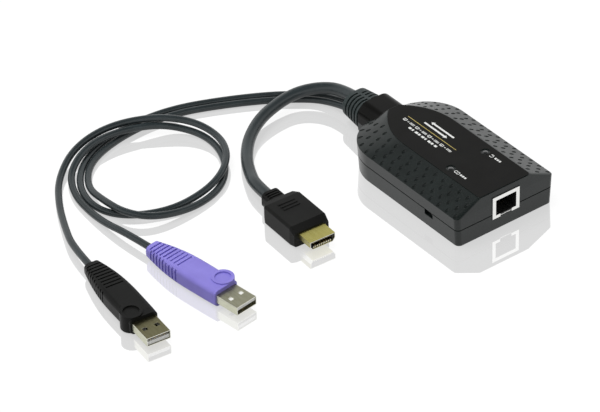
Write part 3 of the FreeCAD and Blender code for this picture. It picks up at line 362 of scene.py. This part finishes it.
def printed(name, shapes, colour):
    """Flat shapes on the panel, each a list of corners in the panel's plane, given a film's
    thickness."""
    film = bmesh.new()
    for corners in shapes:
        film.faces.new([film.verts.new((x, y, SHELL["panel_top"])) for x, y in corners])
    film.normal_update()
    for face in film.faces:
        if face.normal.z < 0:
            face.normal_flip()
    made = bmesh.ops.extrude_face_region(film, geom=film.faces[:])
    tops = [v for v in made["geom"] if isinstance(v, bmesh.types.BMVert)]
    bmesh.ops.translate(film, verts=tops, vec=(0, 0, PRINT["thick"]))
    bmesh.ops.recalc_face_normals(film, faces=film.faces)
    mesh = bpy.data.meshes.new(name)
    film.to_mesh(mesh)
    film.free()
    piece = new_piece(name, mesh)
    set_material(piece, colour)
    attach(piece, "housing")


def bar(x, y, length, width):
    """A bar that runs along Y, from its centre."""
    return [(x - width / 2, y - length / 2), (x + width / 2, y - length / 2),
            (x + width / 2, y + length / 2), (x - width / 2, y + length / 2)]


def ring(x, y, outer, stroke, start=0.0, stop=360.0, steps=28):
    """Pieces of a ring from one angle to another."""
    inner = outer - stroke
    pieces = []
    for i in range(steps):
        first, second = (math.radians(start + (stop - start) * k / steps) for k in (i, i + 1))
        pieces.append([(x + r * math.cos(a), y + r * math.sin(a)) for r, a in (
            (outer, first), (outer, second), (inner, second), (inner, first))])
    return pieces


def placed(shapes, x, y):
    """Shapes drawn reading left to right, laid along the panel towards its front."""
    return [[(x + v, y - u) for u, v in corners] for corners in shapes]


def block(u, v, length, height):
    """A filled oblong from its lower left corner."""
    return [(u, v), (u + length, v), (u + length, v + height), (u, v + height)]


def block_sign(u, v, length, height):
    return [block(u, v, length, height)]


def frame_sign(u, v, length, height, stroke):
    """An oblong outline."""
    return [block(u, v, length, stroke), block(u, v + height - stroke, length, stroke),
            block(u, v + stroke, stroke, height - stroke * 2),
            block(u + length - stroke, v + stroke, stroke, height - stroke * 2)]


def arrow_sign(u, v, length, height, stroke):
    """An arrow to the right, or to the left where its length is negative."""
    tip, neck = u + length, u + length - math.copysign(height * ARROW_HEAD, length)
    return [block(min(u, neck), v + (height - stroke) / 2, abs(neck - u), stroke),
            [(neck, v), (tip, v + height / 2), (neck, v + height)]]


def sign(shape, u, v, *sizes):
    """One sign with its sizes in millimetres: the place of its corner, and then its own."""
    left, low, *rest = (size * mm for size in sizes)
    return shape(u + left, v + low, *rest)


# the signs' sizes in millimetres: left, low, length, height and, where one has it, stroke
ARROWS = ((0, 2.1, 16.5, 2.3, 1.0), (18.5, 4.7, -16.5, 2.3, 1.0))
ARROWS_REAR = 19.0 * mm
PICTURE = ((frame_sign, (0, 0.4, 2.3, 1.3, 0.34)),  # a screen
           (block_sign, (0.5, 0, 1.3, 0.25)),  # its foot
           (arrow_sign, (3.0, 0.45, 1.3, 0.8, 0.3)),
           (frame_sign, (4.9, 0.3, 3.1, 1.1, 0.26)),  # a keyboard
           (block_sign, (5.5, 0.75, 1.9, 0.22)))  # its long key
PICTURES = dict(count=4, pitch=9.0 * mm, base=-3.1 * mm)
BLOCKS = dict(count=9, pitch=2.35, base=-5.5, height=1.25, lengths=(1.71, 1.08, 1.89, 1.35),
              rear=20.5 * mm)
BY_LIGHT = dict(ahead=4.6 * mm, ring=1.15 * mm, ring_stroke=0.34 * mm, opens=125, closes=415,
                pin_x=0.75 * mm, pin=0.3 * mm, pin_width=1.1 * mm, link_ring=0.95 * mm,
                link_stroke=0.32 * mm, link_step=0.75 * mm, blocks=3, block_pitch=1.5,
                block=(-0.55, 1.05, 1.1), block_ahead=2.3 * mm)

white_ink = ink("White ink", (0.80, 0.81, 0.79), 0.5)
gold_ink = ink("Gold ink", (0.50, 0.40, 0.11), 0.35)
line_middle = (PRINT["line_rear"] + PRINT["line_front"]) / 2
line_length = PRINT["line_rear"] - PRINT["line_front"]
printed("gold_hairline", [bar(PRINT["line_x"], line_middle, line_length, PRINT["line_width"])],
        gold_ink)

# two opposite arrows beyond the line; before it a row of pictures, and a row of plain blocks
signs = []
for sizes in ARROWS:
    signs += placed(sign(arrow_sign, 0, 0, *sizes), 0, ARROWS_REAR)
for number in range(PICTURES["count"]):
    for shape, sizes in PICTURE:
        signs += placed(sign(shape, number * PICTURES["pitch"], PICTURES["base"], *sizes),
                        0, PRINT["line_rear"])
for number in range(BLOCKS["count"]):
    length = BLOCKS["lengths"][number % len(BLOCKS["lengths"])]
    signs += placed(sign(block_sign, 0, 0, number * BLOCKS["pitch"], BLOCKS["base"], length,
                         BLOCKS["height"]), 0, BLOCKS["rear"])
sign_y = PRINT["light_y"] - BY_LIGHT["ahead"]
signs += ring(PRINT["light_x"], sign_y, BY_LIGHT["ring"], BY_LIGHT["ring_stroke"],
              BY_LIGHT["opens"], BY_LIGHT["closes"])
signs.append(bar(PRINT["light_x"] + BY_LIGHT["pin_x"], sign_y, BY_LIGHT["pin"],
                 BY_LIGHT["pin_width"]))
for way in (-1, 1):
    signs += ring(-PRINT["light_x"], sign_y + BY_LIGHT["link_step"] * way, BY_LIGHT["link_ring"],
                  BY_LIGHT["link_stroke"])
for side in (-1, 1):
    for number in range(BY_LIGHT["blocks"]):
        signs += placed(sign(block_sign, 0, 0, number * BY_LIGHT["block_pitch"],
                             *BY_LIGHT["block"]),
                        PRINT["light_x"] * side, sign_y - BY_LIGHT["block_ahead"])
printed("panel_signs", signs, white_ink)

# ---------------------------------------------------------------- status lights
# Two acrylic light pipes that end in shallow dishes of the panel. They are unlit, so the smoked
# acrylic looks nearly black with a bright rim where it catches the room.
LIGHT = dict(seat=21.05 * mm, radius=1.5 * mm, height=0.42 * mm, rings=7, sides=28)
smoked = moulded("Smoked acrylic", (0.010, 0.012, 0.012, 1), (0.018, 0.020, 0.020, 1),
                 0.05, 400, 0.01, coat=1.0)
lamp_epoxy = moulded("Lamp epoxy", (0.70, 0.68, 0.50, 1), (0.80, 0.78, 0.62, 1), 0.2, 900, 0.05)


def light_dome(name, x, y):
    """A shallow smoked cap over the dish at the end of a light pipe."""
    cap = bmesh.new()
    rings, sides = LIGHT["rings"], LIGHT["sides"]
    levels = []
    for number in range(rings):
        rise = math.pi / 2 * number / rings
        reach = LIGHT["radius"] * math.cos(rise)
        z = LIGHT["seat"] + LIGHT["height"] * math.sin(rise)
        turns = [math.tau * k / sides for k in range(sides)]
        levels.append([cap.verts.new((x + reach * math.cos(turn), y + reach * math.sin(turn), z))
                       for turn in turns])
    for low, high in zip(levels, levels[1:]):
        for k in range(sides):
            after = (k + 1) % sides
            cap.faces.new((low[k], low[after], high[after], high[k]))
    cap.faces.new(levels[-1])
    cap.faces.new(list(reversed(levels[0])))
    bmesh.ops.recalc_face_normals(cap, faces=cap.faces)
    mesh = bpy.data.meshes.new(name)
    cap.to_mesh(mesh)
    cap.free()
    mesh.shade_smooth()
    dome = new_piece(name, mesh)
    set_material(dome, smoked)
    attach(dome, "housing")


for name, side in (("power", 1), ("link", -1)):
    set_material(nodes[f"{name}_light_pipe"], smoked)
    set_material(nodes[f"{name}_lamp"], lamp_epoxy)
    light_dome(f"{name}_light_dome", PRINT["light_x"] * side, PRINT["light_y"])

# ---------------------------------------------------------------- circuit board and its parts
# A green glass-epoxy board with black packages, a transformer and two nylon lead headers. It is
# closed in by the shells and held by the four screws.
solder_mask = moulded("Solder mask", (0.010, 0.085, 0.035, 1), (0.016, 0.125, 0.05, 1),
                      0.3, 1400, 0.12)
package_epoxy = moulded("Package epoxy", (0.012, 0.012, 0.013, 1), (0.02, 0.02, 0.021, 1),
                        0.55, 3500, 0.3)
header_nylon = moulded("Header nylon", (0.60, 0.57, 0.47, 1), (0.68, 0.65, 0.55, 1),
                       0.45, 2500, 0.1)
set_material(nodes["circuit_board"], solder_mask)
for name in ("video_chip", "main_processor", "network_transformer"):
    set_material(nodes[name], package_epoxy)
for name in ("hdmi_lead_header", "usb_lead_header"):
    set_material(nodes[name], header_nylon)

# ---------------------------------------------------------------- socket, switch and screws
# Stamped and plated sheet with fine drawing marks: the tinned socket shield, crystal can and
# switch can, and the gilt springs. The screws are blackened; insert and knob are black plastic.
PLATE = dict(drawn=(400, 60, 400), mark_scale=3.0, mark_detail=4.0, dark_until=0.3,
             light_from=0.7, smoothest=0.8, roughest=1.25, strength=0.06, height=0.02 * mm)


def plated(name, dark, light, roughness):
    """Plated sheet metal with faint drawing marks along Y."""
    material, tree, shader = new_material(name)
    shader.inputs["Metallic"].default_value = 1.0
    place = tree.nodes.new("ShaderNodeTexCoord")
    stretch = tree.nodes.new("ShaderNodeMapping")
    stretch.inputs["Scale"].default_value = PLATE["drawn"]
    marks = noise(tree, PLATE["mark_scale"], PLATE["mark_detail"])
    shade = colour_ramp(tree, PLATE["dark_until"], PLATE["light_from"], dark, light)
    wear = spread(tree, roughness * PLATE["smoothest"], roughness * PLATE["roughest"])
    bump = bumps(tree, PLATE["strength"], PLATE["height"])
    wired(tree, (place, "Object", stretch, "Vector"), (stretch, "Vector", marks, "Vector"),
          (marks, "Fac", shade, "Fac"), (marks, "Fac", wear, "Value"),
          (marks, "Fac", bump, "Height"), (shade, "Color", shader, "Base Color"),
          (wear, "Result", shader, "Roughness"), (bump, "Normal", shader, "Normal"))
    return material


tin = plated("Bright tin", (0.80, 0.80, 0.78, 1), (0.90, 0.90, 0.88, 1), 0.32)
contact_gilt = plated("Contact gilt", (0.70, 0.52, 0.18, 1), (0.85, 0.66, 0.28, 1), 0.2)
blackened = plated("Blackened steel", (0.06, 0.06, 0.065, 1), (0.11, 0.11, 0.115, 1), 0.35)
jack_plastic = moulded("Socket plastic", (0.010, 0.010, 0.010, 1), (0.016, 0.016, 0.016, 1),
                       0.4, 3000, 0.2)
for name in ("network_jack_shield", "clock_crystal", "switch_frame"):
    set_material(nodes[name], tin)
for name in ("network_jack_insert", "switch_knob"):
    set_material(nodes[name], jack_plastic)
set_material(nodes["network_jack_contacts"], contact_gilt)
for number in range(1, 5):
    set_material(nodes[f"housing_screw_{number}"], blackened)

# ---------------------------------------------------------------- cable boot
# Flexible PVC strain relief moulded round all three leads, with staggered bending slots. A shank
# and a flange of it are clamped in the neck between the two shells.
BOOT = dict(edge=0.18 * mm, sharp_from=40.0)
boot_rubber = moulded("Boot rubber", (0.024, 0.033, 0.033, 1), (0.032, 0.043, 0.043, 1),
                      0.5, 2600, 0.3, gloss=0.3)
boot = merged_copy("strain_relief", "cable_boot")
round_edges(boot, BOOT["edge"], BOOT["sharp_from"])
even_shading(boot, BOOT["sharp_from"])
set_material(boot, boot_rubber)
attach(boot, "housing")
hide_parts("strain_relief")

# ---------------------------------------------------------------- plugs
# Over-moulded grips in black and purple PVC with a thumb dish and a ribbed tail, on plated
# steel shells whose small bevelled edges carry a painted highlight, whose upright sides carry
# painted light on the USB shells and painted shade on the video shell, and whose keyboard plug tops
# carry painted shade; white PBT tongues with gilt pads.
nickel = plated("Nickel plate", (0.35, 0.345, 0.235, 1), (0.48, 0.475, 0.355, 1), 0.42)
# a darker copy of the nickel: painted shade on the keyboard plug's shell tops
nickel_painted_shade = plated("Nickel plate, painted shade", (0.19, 0.175, 0.09, 1), (0.28, 0.265, 0.15, 1), 0.42)
# a lighter copy of the nickel: painted light on the USB shells' upright sides
nickel_painted_side_light = plated("Nickel, painted side light", (0.55, 0.555, 0.43, 1), (0.66, 0.665, 0.53, 1), 0.40)
gilt = plated("Gilt plate", (0.50, 0.455, 0.13, 1), (0.64, 0.59, 0.20, 1), 0.40)
# a darker copy of the gilt: painted shade on the video shell's upright sides
gilt_painted_side_shade = plated("Gilt, painted side shade", (0.31, 0.285, 0.115, 1), (0.43, 0.40, 0.19, 1), 0.40)
# a near-white copy of the plate: a painted highlight on every small bevelled edge of the shells
painted_edge_highlight = plated("Painted edge highlight", (0.70, 0.695, 0.62, 1), (0.84, 0.835, 0.77, 1), 0.38)
black_grip = moulded("Black grip", (0.0078, 0.0080, 0.0076, 1), (0.0105, 0.0108, 0.0102, 1),
                     0.42, 2600, 0.35, gloss=0.1)
purple_grip = moulded("Purple grip", (0.225, 0.19, 0.60, 1), (0.26, 0.225, 0.67, 1),
                      0.5, 2600, 0.3, gloss=0.35)
white_tongue = moulded("White tongue", (0.78, 0.78, 0.75, 1), (0.86, 0.86, 0.83, 1),
                       0.4, 2000, 0.1)
for name, material in (
        ("media_usb_housing", purple_grip), ("keyboard_usb_housing", black_grip),
        ("hdmi_plug_housing", black_grip), ("media_usb_tongue", white_tongue),
        ("keyboard_usb_tongue", white_tongue), ("hdmi_plug_insert", jack_plastic),
        ("media_usb_contacts", contact_gilt), ("keyboard_usb_contacts", contact_gilt),
        ("hdmi_plug_contacts", contact_gilt)):
    set_material(nodes[name], material)

# the tops keep the plate's colour; the edges' material is a painted highlight, and the sides'
# material is painted light on the USB shells and painted shade on the video shell
FACES, EDGES, SIDES = 0, 1, 2  # the metals' places in a case's list of materials
SQUARE = 0.8  # a normal's share along an axis, above which its face lies square to that axis
CASE = dict(edge=0.12 * mm, sharp_from=50.0)
for node, name, face_metal, side_painted_shading in (
        ("media_usb_shell", "media_usb_case", nickel, nickel_painted_side_light),
        ("keyboard_usb_shell", "keyboard_usb_case", nickel_painted_shade, nickel_painted_side_light),
        ("hdmi_plug_shell", "video_case", gilt, gilt_painted_side_shade)):
    case = merged_copy(node, name)
    round_edges(case, CASE["edge"], CASE["sharp_from"])
    even_shading(case)
    set_material(case, face_metal, painted_edge_highlight, side_painted_shading)
    # each face gets its painted light or shade by the way it faces: tops, upright sides, and the
    # small bevels between
    for face in case.data.polygons:
        if abs(face.normal.z) > SQUARE:
            face.material_index = FACES
        else:
            face.material_index = SIDES if abs(face.normal.x) > SQUARE else EDGES
    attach(case, "housing")
    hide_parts(node)

# ---------------------------------------------------------------- video plug's contact ends
# The upper row of gilt contacts shows as a comb of ends across the video plug's mouth, in a paler
# gilt that is a painted highlight.
VIDEO_TAIL = (-75.31, 35.35, 5.2)  # where the lead enters the plug, in millimetres
VIDEO_TURN = math.radians(-2.7)
COMB = dict(count=10, pitch=1.02 * mm, end=(0.46 * mm, 0.14 * mm, 0.95 * mm),
            ahead_of_tail=42.05 * mm, below_tail=1.35 * mm)


def contact_row_tree():
    """Small upright blocks in a straight row, centred on the origin."""
    tree, given, made = new_growth(
        "Contact row", "Geometry", (("Count", "Int"), ("Pitch", "Float"), ("Size", "Vector")),
        "Contacts")
    new = tree.nodes.new
    row = new("GeometryNodeMeshLine")
    step, first = new("ShaderNodeCombineXYZ"), new("ShaderNodeCombineXYZ")
    gaps = new("ShaderNodeMath")
    gaps.operation = "SUBTRACT"
    gaps.inputs[1].default_value = 1.0
    length, back = new("ShaderNodeMath"), new("ShaderNodeMath")
    length.operation = back.operation = "MULTIPLY"
    back.inputs[1].default_value = -0.5
    shape = new("GeometryNodeMeshCube")
    place = new("GeometryNodeInstanceOnPoints")
    real = new("GeometryNodeRealizeInstances")
    finish = new("GeometryNodeSetMaterial")
    wired(tree, (given, "Count", row, "Count"), (given, "Pitch", step, "X"),
          (step, "Vector", row, "Offset"), (given, "Count", gaps, 0), (gaps, "Value", length, 0),
          (given, "Pitch", length, 1), (length, "Value", back, 0), (back, "Value", first, "X"),
          (first, "Vector", row, "Start Location"), (given, "Size", shape, "Size"),
          (row, "Mesh", place, "Points"), (shape, "Mesh", place, "Instance"),
          (place, "Instances", real, "Geometry"), (real, "Geometry", finish, "Geometry"),
          (given, "Material", finish, "Material"), (finish, "Geometry", made, "Contacts"))
    return tree


# a paler copy of the contact gilt: a painted highlight on the contact ends
gilt_painted_highlight = plated("Contact ends, painted highlight", (0.86, 0.82, 0.62, 1), (0.94, 0.91, 0.76, 1), 0.5)
tips = grown(new_piece("video_contact_tips", bpy.data.meshes.new("video_contact_tips")),
             contact_row_tree(), Count=COMB["count"], Pitch=COMB["pitch"], Size=COMB["end"],
             Material=gilt_painted_highlight)
tips.data.transform(
    Matrix.Translation(Vector(VIDEO_TAIL) * mm) @ Matrix.Rotation(VIDEO_TURN, 4, "Z")
    @ Matrix.Translation((0, -COMB["ahead_of_tail"], -COMB["below_tail"])))
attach(tips, "housing")

# ---------------------------------------------------------------- leads
# Three round PVC-jacketed leads, semi-gloss dark slate: two thin ones to the USB plugs in a
# loose double loop, and a thicker one to the video plug. Each is moulded into boot and plug.
# They come after the plugs. Lengths and route points are millimetres.
USB_LEAD = 3.4 * mm
VIDEO_LEAD = 6.0 * mm
BOOT_REAR = 67.5
USB_TAIL = 4.35  # the height at which a thin lead enters its plug
LEAD_SIDES, LEAD_STEPS = 5, 10  # how finely a lead's round and its route are divided
LYING = 1.7  # the height of a thin lead's middle where it lies on the floor
routes = {
    "media_usb": (USB_LEAD, 453.7, [
        (-1.9, BOOT_REAR, 4.6), (-2.5, 84, 1.9), (-18, 98.5, LYING), (-42, 112.5, LYING),
        (-69, 123.7, LYING), (-97, 123.7, LYING), (-121.5, 115.8, LYING), (-134.4, 99.5, LYING),
        (-136.2, 82, 4.7), (-134.8, 67.5, 5.6), (-125, 57, 4.3), (-104, 54.5, LYING),
        (-84, 60, LYING), (-70.2, 77, LYING), (-66.0, 96.5, LYING), (-73.0, 111.8, 2.6),
        (-85.4, 118.6, 5.2), (-104, 123.6, 5.8), (-121.2, 120.6, 6.3), (-134.9, 113, 2.5),
        (-142.2, 98.4, LYING), (-144.1, 84, LYING), (-144.2, 70, 2.5), (-142.4, 56, USB_TAIL),
        (-140.01, 38.31, USB_TAIL)]),
    "keyboard_usb": (USB_LEAD, 475.5, [
        (1.9, BOOT_REAR, 4.6), (1.3, 84.5, 1.9), (-15, 102, LYING), (-40, 116.3, LYING),
        (-68, 127.8, LYING), (-97, 128.2, LYING), (-121.5, 120, LYING), (-137.2, 103, LYING),
        (-141.2, 83, LYING), (-132.5, 68.5, LYING), (-114, 60, LYING), (-95, 59.7, 3.6),
        (-80, 65, 5.6), (-68.3, 78, 5.6), (-64.4, 93.2, 5.3), (-68.6, 107.8, 6.5),
        (-81.6, 119.6, 8.0), (-102, 128.8, 6.6), (-124, 125.6, 5.2), (-141.5, 113, 1.9),
        (-152.5, 96, LYING), (-161, 78, 2.6), (-167.4, 62.1, USB_TAIL),
        (-169.32, 44.21, USB_TAIL)]),
    "hdmi": (VIDEO_LEAD, 124.8, [
        (-0.5, BOOT_REAR, 11.6), (-0.5, 78.6, 10.4), (-5.9, 87.9, 8.7), (-15.2, 93.2, 7.3),
        (-26.5, 92.9, 6.5), (-41.0, 89.1, 5.5), (-53.9, 81.0, 4.0), (-64.3, 69.0, 3.4),
        (-71, 56.5, 4.0), (-74.75, 47, VIDEO_TAIL[2]), VIDEO_TAIL]),
}
jacket = moulded("Lead jacket", (0.018, 0.025, 0.027, 1), (0.025, 0.034, 0.037, 1),
                 0.33, 1800, 0.15)


def lay_lead(name, diameter, points):
    """One smooth curve along a lead's route."""
    curve = bpy.data.curves.new(f"{name}_flex", "CURVE")
    curve.dimensions = "3D"
    curve.bevel_depth = diameter / 2
    curve.bevel_resolution, curve.resolution_u = LEAD_SIDES, LEAD_STEPS
    curve.use_fill_caps = True
    spline = curve.splines.new("NURBS")
    spline.points.add(len(points) - 1)
    for point, (x, y, z) in zip(spline.points, points):
        point.co = (x * mm, y * mm, z * mm, 1)
    spline.order_u = 3
    spline.use_endpoint_u = True
    piece = new_piece(f"{name}_flex", curve)
    set_material(piece, jacket)
    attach(piece, "housing")
    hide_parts(f"{name}_lead")


for lead_name, (diameter, length, points) in routes.items():
    lay_lead(lead_name, diameter, points)

# ---------------------------------------------------------------- floor
# A wide white sheet just under the object. The eye and mirror-like rays see paper, a soft glow
# and a faint mirror image; all other light gets a greyer paper, so less of it bounces back up.
SWEEP = dict(half=6.0, below=0.02 * mm, paper=0.85, bounce=0.45, glow=1.1, glow_share=0.8,
             mirror_share=0.34)


def grey(value):
    return (value, value, value, 1)


def floor_material():
    material = bpy.data.materials.new("White sweep")
    material.use_nodes = True
    tree = material.node_tree
    tree.nodes.clear()
    new = tree.nodes.new
    output, rays = new("ShaderNodeOutputMaterial"), new("ShaderNodeLightPath")
    paper, bounce = new("ShaderNodeBsdfDiffuse"), new("ShaderNodeBsdfDiffuse")
    paper.inputs["Color"].default_value = grey(SWEEP["paper"])
    bounce.inputs["Color"].default_value = grey(SWEEP["bounce"])
    glow = new("ShaderNodeEmission")
    glow.inputs["Color"].default_value = grey(1)
    glow.inputs["Strength"].default_value = SWEEP["glow"]
    mirror = new("ShaderNodeBsdfGlossy")
    mirror.inputs["Roughness"].default_value = 0.0
    mirror.inputs["Color"].default_value = grey(1)
    lit, face, choose = (new("ShaderNodeMixShader") for _ in range(3))
    lit.inputs["Fac"].default_value = SWEEP["glow_share"]
    face.inputs["Fac"].default_value = SWEEP["mirror_share"]
    either = new("ShaderNodeMath")
    either.operation = "MAXIMUM"
    wired(tree, (rays, "Is Camera Ray", either, 0), (rays, "Is Glossy Ray", either, 1),
          (paper, 0, lit, 1), (glow, 0, lit, 2), (lit, 0, face, 1), (mirror, 0, face, 2),
          (either, 0, choose, "Fac"), (bounce, 0, choose, 1), (face, 0, choose, 2),
          (choose, 0, output, "Surface"))
    return material


sweep_mesh = bpy.data.meshes.new("sweep")
wide = SWEEP["half"]
sweep_mesh.from_pydata([(-wide, -wide, 0), (wide, -wide, 0), (wide, wide, 0), (-wide, wide, 0)],
                       [], [(0, 1, 2, 3)])
sweep = new_piece("sweep", sweep_mesh)
sweep.location.z = -SWEEP["below"]
set_material(sweep, floor_material())

# ---------------------------------------------------------------- room light
# White to the eye and through clear parts, and a dim white fill for plain light. Mirror-like
# rays see a bright room up to a dark ceiling, which keeps flat tops deep and edges bright.
ROOM = dict(fill=0.40, ceiling_from=0.66, ceiling_to=0.76, wall=1.0, ceiling=0.10)

world = bpy.data.worlds.new("Studio")
bpy.context.scene.world = world
world.use_nodes = True
tree = world.node_tree
tree.nodes.clear()
rays, direction, parts, overhead, pick, sky, soft, bright = (
    tree.nodes.new(f"ShaderNode{kind}") for kind in (
        "LightPath", "TexCoord", "SeparateXYZ", "MapRange", "MixShader", "OutputWorld",
        "Background", "Background"))
soft.inputs["Strength"].default_value = ROOM["fill"]
for background in (soft, bright):
    background.inputs["Color"].default_value = grey(1)
for key, value in (("From Min", "ceiling_from"), ("From Max", "ceiling_to"),
                   ("To Min", "wall"), ("To Max", "ceiling")):
    overhead.inputs[key].default_value = ROOM[value]
seen, strength, chosen = (tree.nodes.new("ShaderNodeMath") for _ in range(3))
for larger in (seen, strength, chosen):
    larger.operation = "MAXIMUM"
wired(tree, (rays, "Is Camera Ray", seen, 0), (rays, "Is Transmission Ray", seen, 1),
      (direction, "Generated", parts, 0), (parts, "Z", overhead, "Value"),
      (overhead, "Result", strength, 0), (seen, 0, strength, 1),
      (strength, 0, bright, "Strength"), (seen, 0, chosen, 0),
      (rays, "Is Glossy Ray", chosen, 1), (chosen, 0, pick, "Fac"), (soft, 0, pick, 1),
      (bright, 0, pick, 2), (pick, 0, sky, "Surface"))


def soft_box(name, place, size, power):
    """A large area light aimed at the middle of the object, unseen in reflections."""
    middle = Vector((-0.08, 0.03, 0.0))
    lamp = bpy.data.lights.new(name, "AREA")
    lamp.shape, lamp.size, lamp.size_y = "RECTANGLE", size[0], size[1]
    lamp.energy = power
    holder = bpy.data.objects.new(name, lamp)
    bpy.context.collection.objects.link(holder)
    holder.location = place
    holder.visible_glossy = False
    holder.rotation_euler = (middle - Vector(place)).to_track_quat("-Z", "Y").to_euler()


soft_box("Left soft box", (-0.9, -0.1, 0.7), (0.7, 0.7), 2.5)
soft_box("Front soft box", (0.35, -0.9, 0.55), (0.6, 0.4), 1.2)
soft_box("Top soft box", (-0.25, 0.35, 1.2), (0.8, 0.6), 9.5)

# ---------------------------------------------------------------- camera
# A long lens from the front left, well above the object, given by its place and three angles.
EYE = Vector((-846.783, -1041.926, 973.441)) * mm
YAW, PITCH, ROLL = math.radians(36.199), math.radians(36.315), math.radians(-1.755)
FOCAL_LENGTH, SENSOR_WIDTH = 212.87, 36.0
ahead = Vector((math.sin(YAW) * math.cos(PITCH), math.cos(YAW) * math.cos(PITCH),
                -math.sin(PITCH)))
level = ahead.cross(Vector((0, 0, 1))).normalized()
over = level.cross(ahead)
right = level * math.cos(ROLL) + over * math.sin(ROLL)
up = over * math.cos(ROLL) - level * math.sin(ROLL)
lens = bpy.data.cameras.new("Camera")
lens.lens, lens.sensor_width = FOCAL_LENGTH, SENSOR_WIDTH
lens.clip_start, lens.clip_end = 0.05, 50.0
camera = bpy.data.objects.new("Camera", lens)
bpy.context.collection.objects.link(camera)
camera.matrix_world = Matrix.Translation(EYE) @ Matrix((right, up, -ahead)).transposed().to_4x4()
bpy.context.scene.camera = camera
bpy.context.scene.view_settings.view_transform = "Standard"
